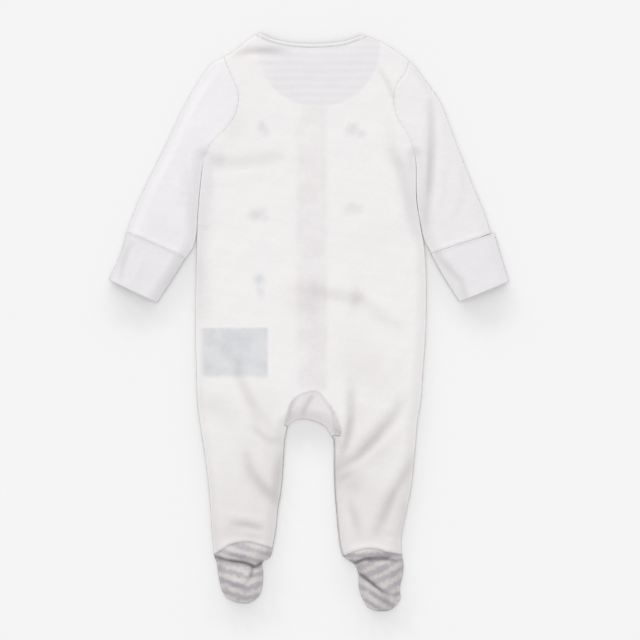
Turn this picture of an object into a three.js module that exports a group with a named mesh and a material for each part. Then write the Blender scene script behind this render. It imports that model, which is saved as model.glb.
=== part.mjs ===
// Footed baby sleepsuit, laid flat on its front with the back up.
// Millimetres. x runs to the wearer's right, y up to the neck, z up from the surface it lies on.
// The origin is on that surface, under the middle of the garment.
import * as THREE from "three";

const { lerp, clamp } = THREE.MathUtils;

// Sizes of the cloth and of its seams
const CLOTH = 1.0; // thickness of the jersey
const SEAM_GAP = 0.3; // space between two pieces at a seam
const ROLL_WIDTH = 10; // how far in the cloth curves down to a folded edge
const ROLL_HEIGHT = 4.5; // how far the back rises from that edge
const EDGE_HEIGHT = CLOTH + SEAM_GAP; // height of the folded edge over the surface
const UNDER_ROLL = 3; // how far in the underside of a tube curves up to its edge
const ON_EDGE = 0.25; // nearer to the outline than this is the edge itself
const OUTLINE_STEPS = 120; // short lines that stand for one curve of the outline
const CURVE_STEPS = 400; // and for a curve that is read at a height
const HALVINGS = 40; // steps in the search for a fraction of a curve
const TINY = 1e-6;
const BINDING_WIDTH = 3.7;
const BINDING_RISE = 0.4; // how far the binding stands over the back
const BINDING_UNDERSIDE = 3.6;
const CUFF_RISE = 0.6; // a turned-back cuff is thicker by this
const FACING_HEIGHT = 3.5;

// Press studs and the two bands that they close
const STUD_RADIUS = 4.6;
const STUD_HEIGHT = 0.6;
const STUD_SIDES = 16;
const studProfile = [
  { radius: 0, height: 0.15 },
  { radius: 1.6, height: 0.15 },
  { radius: 2.2, height: 0 },
  { radius: STUD_RADIUS - 0.7, height: 0 },
  { radius: STUD_RADIUS, height: 0.25 },
  { radius: STUD_RADIUS, height: STUD_HEIGHT },
  { radius: 0, height: STUD_HEIGHT },
];
const STUD_COUNT = 8;
const STUD_PITCH = 37;
const FIRST_STUD_Y = 218;
const BAND_LEFT = -12;
const BAND_RIGHT = 18;
const OVER_LIFT = STUD_HEIGHT + SEAM_GAP;
const UNDER_LIFT = OVER_LIFT + CLOTH + SEAM_GAP;
const BAND_SLOPE = 12; // width in which a front rises to its band
const BAND_END_Y = -98; // height under which no front is raised

// Patch pocket on the left front
const POCKET = { left: -104, right: -41, top: -6, bottom: -55 };
const POCKET_MARGIN = 3; // the front is raised this far past the pocket
const POCKET_LIFT = CLOTH + SEAM_GAP;

// Heights that divide the body
const UNDERARM_Y = 165;
const LEG_TOP_LEFT = -103.5;
const LEG_TOP_RIGHT = -114;

// Sides of the body and legs, one row a height
const sideRows = [
  { y: 165, left: -105, right: 106.5 },
  { y: 157, left: -106.3, right: 107.2 },
  { y: 122, left: -110, right: 107.6 },
  { y: 98, left: -111.5, right: 111.3 },
  { y: 70, left: -112.3, right: 115.8 },
  { y: 1, left: -113.4, right: 117 },
  { y: -51, left: -112.4, right: 113.8 },
  { y: -80, left: -111.5, right: 111.5 },
  { y: -100, left: -109, right: 108.3 },
  { y: -133, left: -104, right: 105.6 },
  { y: -166, left: -100, right: 102 },
  { y: -205, left: -97.2, right: 94 },
  { y: -218, left: -96, right: 92 },
  { y: -232, left: -94.7, right: 92.6 },
];

// Inner edges of the legs, one row a height
const innerLegRows = [
  { y: -118, left: -24, right: 24.5 },
  { y: -133, left: -25, right: 24.8 },
  { y: -151, left: -26, right: 25 },
  { y: -171, left: -28, right: 25.8 },
  { y: -188, left: -31, right: 27.2 },
  { y: -208, left: -33, right: 29 },
  { y: -226, left: -36.2, right: 31.4 },
];
const rightAnkle = { x: 34, y: -234 };

// Crotch edge of the gusset, and its seam to the body, from the left leg to the right one
const crotchRows = [
  { x: -21.3, y: -104 },
  { x: -15, y: -98.6 },
  { x: -4, y: -97 },
  { x: 5, y: -99 },
  { x: 17, y: -105 },
  { x: 22.8, y: -114.2 },
];
const archRows = [
  { x: -24.6, y: -103.5 },
  { x: -21, y: -93 },
  { x: -16.5, y: -80.5 },
  { x: -6, y: -72.5 },
  { x: 8, y: -70.5 },
  { x: 18, y: -81 },
  { x: 26, y: -94 },
  { x: 30.6, y: -106 },
  { x: 31, y: -114 },
];

// Shoulders from the neck to the tip, neck edges, and armholes from the tip to the underarm
const shoulderRows = {
  left: [
    { x: -50, y: 289 },
    { x: -61, y: 282 },
    { x: -72, y: 272.5 },
    { x: -85, y: 264.5 },
  ],
  right: [
    { x: 54, y: 287 },
    { x: 72, y: 280 },
    { x: 88, y: 270 },
    { x: 100, y: 261 },
  ],
};
const backNeckRows = [
  { x: -50, y: 289 },
  { x: -37, y: 283 },
  { x: -21, y: 279.4 },
  { x: -8, y: 278 },
  { x: 15, y: 278 },
  { x: 35, y: 280.4 },
  { x: 54, y: 287 },
];
const frontNeckRows = [
  { x: -50, y: 289 },
  { x: -46, y: 274 },
  { x: -36, y: 259 },
  { x: -22, y: 250.5 },
  { x: 3, y: 248 },
  { x: 28, y: 250.5 },
  { x: 42, y: 259 },
  { x: 51, y: 273 },
  { x: 54, y: 287 },
];
const armholeRows = {
  left: [
    { x: -85, y: 264.5 },
    { x: -77, y: 245 },
    { x: -70.5, y: 229 },
    { x: -72, y: 211 },
    { x: -81, y: 195 },
    { x: -95.5, y: 180 },
    { x: -105, y: 165 },
  ],
  right: [
    { x: 100, y: 261 },
    { x: 95.5, y: 248 },
    { x: 87.5, y: 237 },
    { x: 84.5, y: 222 },
    { x: 88, y: 205 },
    { x: 100, y: 184 },
    { x: 106.5, y: 165 },
  ],
};

// Sleeves, one row a section down the arm
const sleeveRows = {
  left: [
    { overX: -85, overY: 264.5, underX: -105, underY: 165 },
    { overX: -96, overY: 259, underX: -110.6, underY: 161.6 },
    { overX: -107, overY: 245, underX: -113, underY: 151 },
    { overX: -124, overY: 217, underX: -113.4, underY: 132 },
    { overX: -142.5, overY: 177.5, underX: -113.8, underY: 110 },
    { overX: -163, overY: 136.5, underX: -114.6, underY: 88 },
    { overX: -175.5, overY: 108, underX: -117.5, underY: 74 },
    { overX: -182, overY: 90, underX: -123, underY: 64 },
  ],
  right: [
    { overX: 100, overY: 261, underX: 106.5, underY: 165 },
    { overX: 107, overY: 254.5, underX: 109.3, underY: 160 },
    { overX: 115, overY: 243, underX: 110.7, underY: 150 },
    { overX: 130, overY: 222, underX: 110.9, underY: 132 },
    { overX: 145, overY: 184, underX: 111.2, underY: 115 },
    { overX: 161, overY: 143, underX: 113.8, underY: 97 },
    { overX: 174, overY: 112, underX: 117, underY: 82 },
    { overX: 182, overY: 88, underX: 122.5, underY: 68.5 },
  ],
};

// Cuffs, one row at the seam, the middle and the open end
const cuffRows = {
  left: [
    { overX: -182, overY: 90, underX: -123, underY: 64 },
    { overX: -188, overY: 68.5, underX: -137, underY: 41.5 },
    { overX: -200, overY: 42.3, underX: -151.8, underY: 19 },
  ],
  right: [
    { overX: 185.4, overY: 87, underX: 121.5, underY: 67.5 },
    { overX: 192, overY: 66, underX: 135.5, underY: 43.5 },
    { overX: 200, overY: 40.4, underX: 150.6, underY: 20 },
  ],
};

// Feet: the seam at the ankle, one row a height below it, and the toe
const footRows = {
  left: {
    ankle: [
      { x: -94.7, y: -232 },
      { x: -86, y: -226.6 },
      { x: -76.7, y: -221.5 },
      { x: -60, y: -219.6 },
      { x: -48, y: -222.4 },
      { x: -36.2, y: -226 },
    ],
    sides: [
      { y: -235, left: -94.3, right: -39 },
      { y: -240, left: -92, right: -46.4 },
      { y: -252, left: -90.6, right: -46 },
      { y: -262, left: -88.6, right: -46.4 },
      { y: -271, left: -85.6, right: -48.6 },
    ],
    toe: [
      { x: -82, y: -276 },
      { x: -75, y: -279.4 },
      { x: -64, y: -281.4 },
      { x: -56, y: -279 },
      { x: -50.4, y: -274.6 },
    ],
  },
  right: {
    ankle: [
      { x: 34, y: -234 },
      { x: 44.5, y: -229.6 },
      { x: 57.4, y: -226 },
      { x: 68, y: -226.4 },
      { x: 78, y: -229.6 },
      { x: 92.6, y: -232 },
    ],
    sides: [
      { y: -237, left: 38, right: 93.4 },
      { y: -243, left: 46, right: 94.3 },
      { y: -252, left: 49.6, right: 93.6 },
      { y: -266, left: 50, right: 90.6 },
      { y: -277, left: 54, right: 91.2 },
    ],
    toe: [
      { x: 58.5, y: -284.6 },
      { x: 65, y: -288 },
      { x: 74, y: -289 },
      { x: 82, y: -287.4 },
      { x: 87.6, y: -282.6 },
    ],
  },
};

// Lower edge of the half-moon facing
const facingRows = [
  { x: -50.5, y: 268 },
  { x: -47, y: 246 },
  { x: -33, y: 228 },
  { x: -9, y: 217 },
  { x: 3, y: 216 },
  { x: 18, y: 218.4 },
  { x: 42, y: 229 },
  { x: 57, y: 243 },
  { x: 64, y: 262 },
];

// Largest folds: a ridge or a trough from one point to another, with its half-width and height.
// The feet are filled out by two broad ridges each, over the heel and over the sole.
const folds = [
  { x0: -100, y0: 160, x1: -30, y1: 170, width: 9, height: -1.2 },
  { x0: -96, y0: 148, x1: -40, y1: 156, width: 9, height: 1.4 },
  { x0: -22, y0: 35, x1: 55, y1: 18, width: 8, height: -1.0 },
  { x0: 55, y0: 18, x1: 98, y1: -11, width: 8, height: -1.0 },
  { x0: -10, y0: 22, x1: 92, y1: -22, width: 9, height: 1.4 },
  { x0: -84, y0: -28, x1: -64, y1: -62, width: 8, height: -1.2 },
  { x0: -64, y0: -62, x1: -44, y1: -98, width: 8, height: -1.2 },
  { x0: -96, y0: -42, x1: -62, y1: -92, width: 9, height: 1.6 },
  { x0: -62, y0: -131, x1: -56, y1: -153, width: 7, height: -1.2 },
  { x0: -56, y0: -153, x1: -36, y1: -176, width: 7, height: -1.2 },
  { x0: -76, y0: -128, x1: -66, y1: -170, width: 10, height: 1.8 },
  { x0: -80, y0: -202, x1: -46, y1: -208, width: 6, height: -1.2 },
  { x0: -84, y0: -213, x1: -42, y1: -217, width: 6, height: 1.4 },
  { x0: 41, y0: -75, x1: 42, y1: -104, width: 7, height: -1.2 },
  { x0: 91, y0: -83, x1: 64, y1: -120, width: 7, height: -1.2 },
  { x0: 64, y0: -120, x1: 34, y1: -144, width: 7, height: -1.2 },
  { x0: 74, y0: -80, x1: 42, y1: -124, width: 9, height: 1.8 },
  { x0: 103, y0: -138, x1: 82, y1: -178, width: 7, height: -1.2 },
  { x0: 82, y0: -178, x1: 69, y1: -203, width: 7, height: -1.2 },
  { x0: 84, y0: -140, x1: 58, y1: -186, width: 10, height: 1.8 },
  { x0: 80, y0: 172, x1: 99, y1: 112, width: 8, height: -1.0 },
  { x0: 122, y0: 217, x1: 122, y1: 172, width: 7, height: -1.2 },
  { x0: 122, y0: 172, x1: 118, y1: 98, width: 7, height: -1.2 },
  { x0: 134, y0: 196, x1: 137, y1: 112, width: 9, height: 1.6 },
  { x0: -126, y0: 150, x1: -120, y1: 88, width: 7, height: -1.2 },
  { x0: -138, y0: 150, x1: -136, y1: 92, width: 9, height: 1.4 },
  { x0: -84, y0: -234, x1: -50, y1: -233, width: 9, height: 2.0 },
  { x0: -92, y0: -243, x1: -48, y1: -246, width: 3, height: -1.2 },
  { x0: -72, y0: -258, x1: -66, y1: -268, width: 15, height: 1.8 },
  { x0: 50, y0: -240, x1: 80, y1: -238, width: 9, height: 2.0 },
  { x0: 46, y0: -246, x1: 84, y1: -243, width: 3, height: -1.2 },
  { x0: 66, y0: -260, x1: 74, y1: -276, width: 15, height: 1.8 },
];
const HIGHEST_FOLD = 2;
const DEEPEST_FOLD = -1.2;

// Columns of the body, as fractions of its width at the underarms. Some of them end at a corner.
const NECK_LEFT = 0.18; // corner between the shoulder and the neck
const NECK_RIGHT = 0.78;
const HIP_LEFT = 0.37; // end of the arch over the gusset
const HIP_RIGHT = 0.655;
const SHOULDER_CORNER = 0.08; // where the body begins under the binding, as a fraction of the shoulder
const BINDING_END = 0.072; // where the binding ends on the shoulder
const FACING_FROM = 0.09; // ends of the facing, as fractions of the back neck
const FACING_TO = 0.91;
const GUSSET_CLEAR = 0.004; // keeps the ends of the gusset off the legs, as a fraction of its seam
const CROTCH_CLEAR = 0.008; // and of its fold
const BINDING_CLEAR = 0.003; // keeps an end of the binding off the front across the bands
const acrossBack = [
  0, 0.014, 0.045, 0.09, 0.135, NECK_LEFT, 0.205, 0.26, 0.315, HIP_LEFT, 0.405, 0.44, 0.487, 0.534,
  0.5816, 0.61, 0.635, HIP_RIGHT, 0.685, 0.725, 0.755, NECK_RIGHT, 0.835, 0.885, 0.955, 0.986, 1,
];
const acrossLeftFront = [
  0, 0.0215, 0.0304, 0.1, NECK_LEFT, 0.25, 0.324, 0.345, HIP_LEFT, 0.405, 0.44,
];
const acrossRightFront = [0.5816, 0.61, 0.635, HIP_RIGHT, 0.72, NECK_RIGHT, 0.87, 0.955, 1];

// How far along the arch its columns end. The bands reach from the third of them to the sixth,
// and those two are placed by their x.
const archStops = [
  { column: HIP_LEFT, along: 0 },
  { column: 0.405, along: 0.143 },
  { column: 0.44, along: 0.293, atX: BAND_LEFT },
  { column: 0.487, along: 0.41 },
  { column: 0.534, along: 0.529 },
  { column: 0.5816, along: 0.646, atX: BAND_RIGHT },
  { column: 0.61, along: 0.768 },
  { column: 0.635, along: 0.893 },
  { column: HIP_RIGHT, along: 1 },
];

// Fractions at which the pieces are divided the other way. A sleeve shares those of its armhole,
// without the one beside the underarm, where its sections run almost along its edge.
const acrossArm = [0, 0.03, 0.1, 0.23, 0.365, 0.5, 0.635, 0.77, 0.9, 0.97, 1];
const acrossSleeve = {
  left: [0, 0.03, 0.1, 0.23, 0.365, 0.5, 0.635, 0.77, 0.9, 1],
  right: [0, 0.1, 0.23, 0.365, 0.5, 0.635, 0.77, 0.9, 0.97, 1],
};
const downSleeve = [0, 0.07, 0.15, 0.24, 0.33, 0.42, 0.52, 0.62, 0.72, 0.82, 0.91, 1];
const downCuff = [0, 0.25, 0.5, 0.75, 1];
const downLeg = [0, 0.09, 0.18, 0.27, 0.36, 0.45, 0.54, 0.63, 0.72, 0.8, 0.87, 0.94, 1];
const downFrontLeg = [0, 0.2, 0.4, 0.6, 0.8, 1];
const downTorso = [
  0, 0.05, 0.11, 0.17, 0.23, 0.29, 0.35, 0.41, 0.47, 0.53, 0.59, 0.65, 0.71, 0.77, 0.83, 0.89, 0.95, 1,
];
const downFoot = [0, 0.1, 0.2, 0.3, 0.42, 0.55, 0.68, 0.8, 0.9, 0.97, 1];
const downFrontFoot = [0, 0.25, 0.5, 0.75, 1];
const downGusset = [0, 0.35, 0.65, 0.88, 1];
const downFacing = [0, 0.2, 0.4, 0.6, 0.8, 1];
const acrossFacing = [0, 0.1, 0.2, 0.3, 0.4, 0.5, 0.6, 0.7, 0.8, 0.9, 1];
const downBand = [0, 0.1, 0.2, 0.3, 0.4, 0.5, 0.6, 0.7, 0.8, 0.9, 1];
const edgeToEdge = [0, 1];
const halves = [0, 0.5, 1];
const ARMHOLE_BEND = 7; // how soon a sleeve's sections straighten away from its armhole

// Heights of the rows of the fronts from the underarm down, with a row close round the pocket
const ROUND_POCKET = POCKET_MARGIN - 0.2;
const frontLevels = [
  UNDERARM_Y, 126, 87, 48, 8, POCKET.top + ROUND_POCKET, -30, POCKET.bottom - ROUND_POCKET, -69,
];

// Curve through the rows of a table
const curveOf = (rows, across = "x", up = "y") =>
  new THREE.CatmullRomCurve3(
    rows.map((row) => new THREE.Vector3(row[across], row[up], 0)),
    false,
    "centripetal",
  );

// Plan point on a curve at a fraction of its length, moved sideways to the right of its direction
const beside = (curve, fraction, offset = 0) => {
  const point = curve.getPointAt(fraction);
  const tangent = curve.getTangentAt(fraction);
  return new THREE.Vector2(point.x + tangent.y * offset, point.y - tangent.x * offset);
};

// Function of a fraction that gives the points of a curve between two of its heights
const betweenHeights = (curve, high, low) => {
  const samples = curve.getSpacedPoints(CURVE_STEPS);
  const atHeight = (y) => {
    const k = samples.findIndex((sample, i) => i > 0 && (sample.y - y) * (samples[i - 1].y - y) <= 0);
    if (k < 0) {
      const ends = [samples[0], samples[samples.length - 1]];
      const end = ends[Math.abs(ends[0].y - y) < Math.abs(ends[1].y - y) ? 0 : 1];
      return new THREE.Vector2(end.x, y);
    }
    const [a, b] = [samples[k - 1], samples[k]];
    const t = a.y === b.y ? 0 : (y - a.y) / (b.y - a.y);
    return new THREE.Vector2(lerp(a.x, b.x, t), y);
  };
  return (t) => atHeight(lerp(high, low, t));
};

// Function of u that runs straight from point to point, each at its own u
const through = (stops, points) => (u) => {
  const k = Math.max(1, stops.findIndex((stop) => stop >= u - TINY));
  const t = (u - stops[k - 1]) / (stops[k] - stops[k - 1]);
  return points[k - 1].clone().lerp(points[k], t);
};
const straight = (a, b) => (t) => a.clone().lerp(b, t);

// Plan of a piece between four edges: top and bottom run with u, left and right with v.
// Lines across run straight from left to right, and bend to the top and the bottom as they near them.
// A higher power keeps that bend nearer to its edge.
const bendOf = (edge, u) => edge(u).sub(straight(edge(0), edge(1))(u));
const patch = (top, bottom, left, right, power = 1) => (u, v) => {
  if (v === 0) return top(u);
  if (v === 1) return bottom(u);
  return straight(left(v), right(v))(u)
    .addScaledVector(bendOf(top, u), (1 - v) ** power)
    .addScaledVector(bendOf(bottom, u), v ** power);
};

// The curves that several pieces share
const side = { left: curveOf(sideRows, "left"), right: curveOf(sideRows, "right") };
const innerLeg = {
  left: curveOf([crotchRows[0], ...innerLegRows.map((row) => ({ x: row.left, y: row.y }))]),
  right: curveOf([
    crotchRows[crotchRows.length - 1],
    ...innerLegRows.map((row) => ({ x: row.right, y: row.y })),
    rightAnkle,
  ]),
};
const crotch = curveOf(crotchRows);
const arch = curveOf(archRows);
const shoulder = { left: curveOf(shoulderRows.left), right: curveOf(shoulderRows.right) };
const backNeck = curveOf(backNeckRows);
const frontNeck = curveOf(frontNeckRows);
const armhole = { left: curveOf(armholeRows.left), right: curveOf(armholeRows.right) };
const overarm = {
  left: curveOf(sleeveRows.left, "overX", "overY"),
  right: curveOf(sleeveRows.right, "overX", "overY"),
};
const underarm = {
  left: curveOf(sleeveRows.left, "underX", "underY"),
  right: curveOf(sleeveRows.right, "underX", "underY"),
};
const ankle = { left: curveOf(footRows.left.ankle), right: curveOf(footRows.right.ankle) };

// Foot outline from its left end at the ankle, round the toe, to its right end
const footEdges = (rows) => {
  const first = rows.ankle[0];
  const last = rows.ankle[rows.ankle.length - 1];
  const toeEnd = rows.toe[rows.toe.length - 1];
  return {
    left: curveOf([first, ...rows.sides.map((row) => ({ x: row.left, y: row.y })), rows.toe[0]]),
    toe: curveOf(rows.toe),
    right: curveOf([last, ...rows.sides.map((row) => ({ x: row.right, y: row.y })), toeEnd]),
  };
};
const footEdge = { left: footEdges(footRows.left), right: footEdges(footRows.right) };

// Outline as runs of short lines, each with the cloth on its left
const run = (...curves) => {
  const points = curves.flatMap(([curve, backwards]) => {
    const spaced = curve.getSpacedPoints(OUTLINE_STEPS).map((p) => new THREE.Vector2(p.x, p.y));
    return backwards ? spaced.reverse() : spaced;
  });
  return points.filter((p, i) => i === 0 || p.distanceTo(points[i - 1]) > TINY);
};
const edgeRuns = {
  leftTop: run([shoulder.left], [overarm.left]),
  rightTop: run([overarm.right, true], [shoulder.right, true]),
  leftSide: run([side.left]),
  rightSide: run([side.right, true]),
  leftUnderarm: run([underarm.left, true]),
  rightUnderarm: run([underarm.right]),
  legs: run([innerLeg.left, true], [crotch], [innerLeg.right]),
  leftFoot: run([footEdge.left.left], [footEdge.left.toe], [footEdge.left.right, true]),
  rightFoot: run([footEdge.right.left], [footEdge.right.toe], [footEdge.right.right, true]),
};

// Distance from a plan point to the nearest of some runs, and the direction into the cloth
const nearestEdge = (point, runs) => {
  let best = { distance: Infinity };
  for (const points of runs)
    for (let i = 1; i < points.length; i++) {
      const along = points[i].clone().sub(points[i - 1]);
      const t = point.clone().sub(points[i - 1]).dot(along) / along.lengthSq();
      const foot = points[i - 1].clone().addScaledVector(along, clamp(t, 0, 1));
      const distance = foot.distanceTo(point);
      if (distance < best.distance) best = { distance, foot, along };
    }
  const inward =
    best.distance > ON_EDGE
      ? point.clone().sub(best.foot).normalize()
      : new THREE.Vector2(-best.along.y, best.along.x).normalize();
  return { distance: best.distance > ON_EDGE ? best.distance : 0, inward };
};

// Height that the folds add at a plan point
const foldAt = (point) => {
  let height = 0;
  for (const fold of folds) {
    const start = new THREE.Vector2(fold.x0, fold.y0);
    const along = new THREE.Vector2(fold.x1, fold.y1).sub(start);
    const t = clamp(point.clone().sub(start).dot(along) / along.lengthSq(), 0, 1);
    const away = point.distanceTo(start.addScaledVector(along, t)) / fold.width;
    height += fold.height * Math.exp(-away * away);
  }
  return clamp(height, DEEPEST_FOLD, HIGHEST_FOLD);
};

// A skin gives the outer and the inner point of the wall over a plan point.
// Cosine and sine here are of the angle round the rolled edge, a quarter of an ellipse.
const rollOf = (distance, width) => {
  const cosine = Math.max(0, 1 - distance / width);
  return { cosine, sine: Math.sqrt(1 - cosine * cosine) };
};
const wallPoints = (point, inset, outerZ, innerZ) => ({
  outer: new THREE.Vector3(point.x, point.y, outerZ),
  inner: new THREE.Vector3(point.x + inset.x, point.y + inset.y, innerZ),
});

// Upper side: rolled at the outline, with the folds, its inside never above the plain cloth
const upperSkin = (runs, rise = 0, underside = EDGE_HEIGHT + ROLL_HEIGHT - CLOTH) => (point) => {
  const { distance, inward } = nearestEdge(point, runs);
  const { cosine, sine } = rollOf(distance, ROLL_WIDTH);
  const fold = foldAt(point);
  const outerZ = EDGE_HEIGHT + (ROLL_HEIGHT + rise + fold) * sine;
  const innerZ = EDGE_HEIGHT + (underside - EDGE_HEIGHT + Math.min(fold, 0)) * sine;
  return wallPoints(point, inward.multiplyScalar(CLOTH * cosine), outerZ, innerZ);
};

// Underside of a tube: flat on the surface, and rolled up to the same edge
const lowerSkin = (runs, lift = () => 0) => (point) => {
  const { distance, inward } = nearestEdge(point, runs);
  const { cosine, sine } = rollOf(distance, UNDER_ROLL);
  const raised = lift(point) * sine;
  const outerZ = EDGE_HEIGHT * (1 - sine) + raised;
  const innerZ = EDGE_HEIGHT - (EDGE_HEIGHT - CLOTH) * sine + raised;
  return wallPoints(point, inward.multiplyScalar(CLOTH * cosine), outerZ, innerZ);
};

// Flat cloth with its outer side down or up
const noInset = new THREE.Vector2(0, 0);
const flatDown = (lift) => (point) => wallPoints(point, noInset, lift(point), lift(point) + CLOTH);
const flatUp = (underside) => (point) => wallPoints(point, noInset, underside + CLOTH, underside);

// How far the fronts are raised by the bands and the pocket
const ramp = (distance, width) => clamp(1 - distance / width, 0, 1);
const pocketLift = (point) => {
  const outside = Math.max(
    POCKET.left - POCKET_MARGIN - point.x,
    point.x - POCKET.right - POCKET_MARGIN,
    POCKET.bottom - POCKET_MARGIN - point.y,
    point.y - POCKET.top - POCKET_MARGIN,
  );
  return outside <= 0 ? POCKET_LIFT : 0;
};
const bandLift = (lift, point, distance) =>
  lift * ramp(distance, BAND_SLOPE) * (1 - ramp(point.y - BAND_END_Y, BAND_SLOPE));
const leftLift = (point) =>
  Math.max(pocketLift(point), bandLift(OVER_LIFT, point, BAND_LEFT - point.x));
const rightLift = (point) => bandLift(UNDER_LIFT, point, point.x - BAND_RIGHT);

// Direction of the sewn edge at a point of a grid, if it is on one
const seamDirection = (plans, i, j, seams) => {
  const [lastRow, lastColumn] = [plans.length - 1, plans[0].length - 1];
  const onRow = (seams.includes("top") && j === 0) || (seams.includes("bottom") && j === lastRow);
  const onColumn = (seams.includes("left") && i === 0) || (seams.includes("right") && i === lastColumn);
  if (onRow) {
    const next = plans[j][Math.min(i + 1, lastColumn)];
    return next.clone().sub(plans[j][Math.max(i - 1, 0)]).normalize();
  }
  if (onColumn) {
    const next = plans[Math.min(j + 1, lastRow)][i];
    return next.clone().sub(plans[Math.max(j - 1, 0)][i]).normalize();
  }
  return null;
};

// A wall of cloth: sheets of quadrilaterals, an outer and an inner side, closed along every free edge
class Wall {
  constructor() {
    this.points = [];
    this.numbers = new Map();
    this.quads = [];
  }

  number({ outer, inner }) {
    const key = outer.toArray().map((value) => Math.round(value * 1000)).join();
    if (!this.numbers.has(key)) {
      this.numbers.set(key, this.points.length);
      this.points.push({ outer, inner });
    }
    return this.numbers.get(key);
  }

  // Adds a sheet. faceDown is for one whose outer side is the lower one, and seams names the edges
  // sewn to another piece, where the wall ends straight up and down along the edge.
  sheet(plan, across, down, skin, { faceDown = false, seams = [] } = {}) {
    const plans = down.map((v) => across.map((u) => plan(u, v)));
    const grid = plans.map((row, j) =>
      row.map((point, i) => {
        const wall = skin(point);
        const along = seamDirection(plans, i, j, seams);
        if (along) {
          const inset = new THREE.Vector2(wall.inner.x - point.x, wall.inner.y - point.y);
          const kept = along.multiplyScalar(inset.dot(along));
          wall.inner.set(point.x + kept.x, point.y + kept.y, wall.inner.z);
        }
        return this.number(wall);
      }),
    );
    for (let j = 1; j < down.length; j++)
      for (let i = 1; i < across.length; i++) {
        const quad = [grid[j - 1][i - 1], grid[j][i - 1], grid[j][i], grid[j - 1][i]];
        this.quads.push(faceDown ? quad.reverse() : quad);
      }
    return this;
  }

  geometry() {
    const inside = this.points.length;
    const triangles = [];
    const edges = new Map();
    const face = (a, b, c, d) => triangles.push(a, b, c, a, c, d);
    for (const [a, b, c, d] of this.quads) {
      face(a, b, c, d);
      triangles.push(a + inside, c + inside, b + inside, a + inside, d + inside, c + inside);
      for (const [from, to] of [[a, b], [b, c], [c, d], [d, a]]) edges.set(from + ">" + to, [from, to]);
    }
    for (const [from, to] of edges.values())
      if (!edges.has(to + ">" + from)) face(to, from, from + inside, to + inside);
    const positions = [...this.points.map((p) => p.outer), ...this.points.map((p) => p.inner)];
    const geometry = new THREE.BufferGeometry().setFromPoints(positions);
    geometry.setIndex(triangles);
    geometry.computeVertexNormals();
    return geometry;
  }
}

// Materials, one for each kind of cloth
const cloth = (color) => new THREE.MeshStandardMaterial({ color, roughness: 0.9, flatShading: true });
const materials = {
  jersey: cloth("#f3f1f0"),
  rib: cloth("#ecebed"),
  stripe: cloth("#c9c6cb"),
  facing: cloth("#dcdce2"),
  pocket: cloth("#c4ccd6"),
  stud: new THREE.MeshStandardMaterial({ color: "#f4f4f4", roughness: 0.35, metalness: 0.1 }),
};

const sleepsuit = new THREE.Group();
sleepsuit.name = "sleepsuit";
const add = (name, geometry, material) => {
  const mesh = new THREE.Mesh(geometry, material);
  mesh.name = name;
  sleepsuit.add(mesh);
  return mesh;
};

const HALF_GAP = SEAM_GAP / 2;
const LEFT_BAND_STOP = archStops[2];
const RIGHT_BAND_STOP = archStops[5];

// Fraction of the way from one column to another, and the same fraction of a curve's stretch
const share = (u, from, to) => (u - from) / (to - from);
const fractionAtX = (curve, x) => {
  let [low, high] = [0, 1];
  for (let i = 0; i < HALVINGS; i++) {
    const middle = (low + high) / 2;
    if (curve.getPointAt(middle).x < x) low = middle;
    else high = middle;
  }
  return low;
};
for (const stop of archStops) if ("atX" in stop) stop.along = fractionAtX(arch, stop.atX);
const archAlong = (u) => {
  const k = Math.max(1, archStops.findIndex((stop) => stop.column >= u - TINY));
  const [a, b] = [archStops[k - 1], archStops[k]];
  return lerp(a.along, b.along, share(u, a.column, b.column));
};

// Body edges, half a seam away from the pieces beside them
const bodyArmhole = {
  left: (t) => beside(armhole.left, t, -HALF_GAP),
  right: (t) => beside(armhole.right, t, HALF_GAP),
};
const underarmLine = (u) => straight(bodyArmhole.left(1), bodyArmhole.right(1))(u);
const hipCorner = {
  left: betweenHeights(side.left, UNDERARM_Y, LEG_TOP_LEFT)(1),
  right: betweenHeights(side.right, UNDERARM_Y, LEG_TOP_RIGHT)(1),
};
const bodyArch = (u) => beside(arch, archAlong(u), -HALF_GAP);
const hipLine = (u) => {
  if (u < HIP_LEFT) return straight(hipCorner.left, bodyArch(HIP_LEFT))(share(u, 0, HIP_LEFT));
  if (u > HIP_RIGHT) return straight(bodyArch(HIP_RIGHT), hipCorner.right)(share(u, HIP_RIGHT, 1));
  return bodyArch(u);
};

// Shoulder edge, from the tip on each side to the corner where the neck binding ends
const shoulderEdge = (which, fromTip) =>
  beside(shoulder[which], lerp(1, SHOULDER_CORNER, fromTip));
const belowBinding = (curve, fraction) => beside(curve, fraction, BINDING_WIDTH + SEAM_GAP);
const shoulderLine = (u, neckline) => {
  if (u === 0) return bodyArmhole.left(0);
  if (u === 1) return bodyArmhole.right(0);
  if (u <= NECK_LEFT) return shoulderEdge("left", u / NECK_LEFT);
  if (u >= NECK_RIGHT) return shoulderEdge("right", share(u, 1, NECK_RIGHT));
  return neckline(u);
};
const backTop = (u) =>
  shoulderLine(u, () => belowBinding(backNeck, share(u, NECK_LEFT, NECK_RIGHT)));

// Front neck edge: the fractions at which the two bands begin
const bandOnNeck = {
  left: fractionAtX(frontNeck, BAND_LEFT),
  right: fractionAtX(frontNeck, BAND_RIGHT),
};
const frontTop = (u) =>
  shoulderLine(u, () =>
    u <= LEFT_BAND_STOP.column
      ? belowBinding(frontNeck, bandOnNeck.left * share(u, NECK_LEFT, LEFT_BAND_STOP.column))
      : belowBinding(frontNeck, lerp(bandOnNeck.right, 1, share(u, RIGHT_BAND_STOP.column, NECK_RIGHT))),
  );

const bandColumns = archStops
  .map((stop) => stop.column)
  .filter((u) => u >= LEFT_BAND_STOP.column && u <= RIGHT_BAND_STOP.column);

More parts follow.
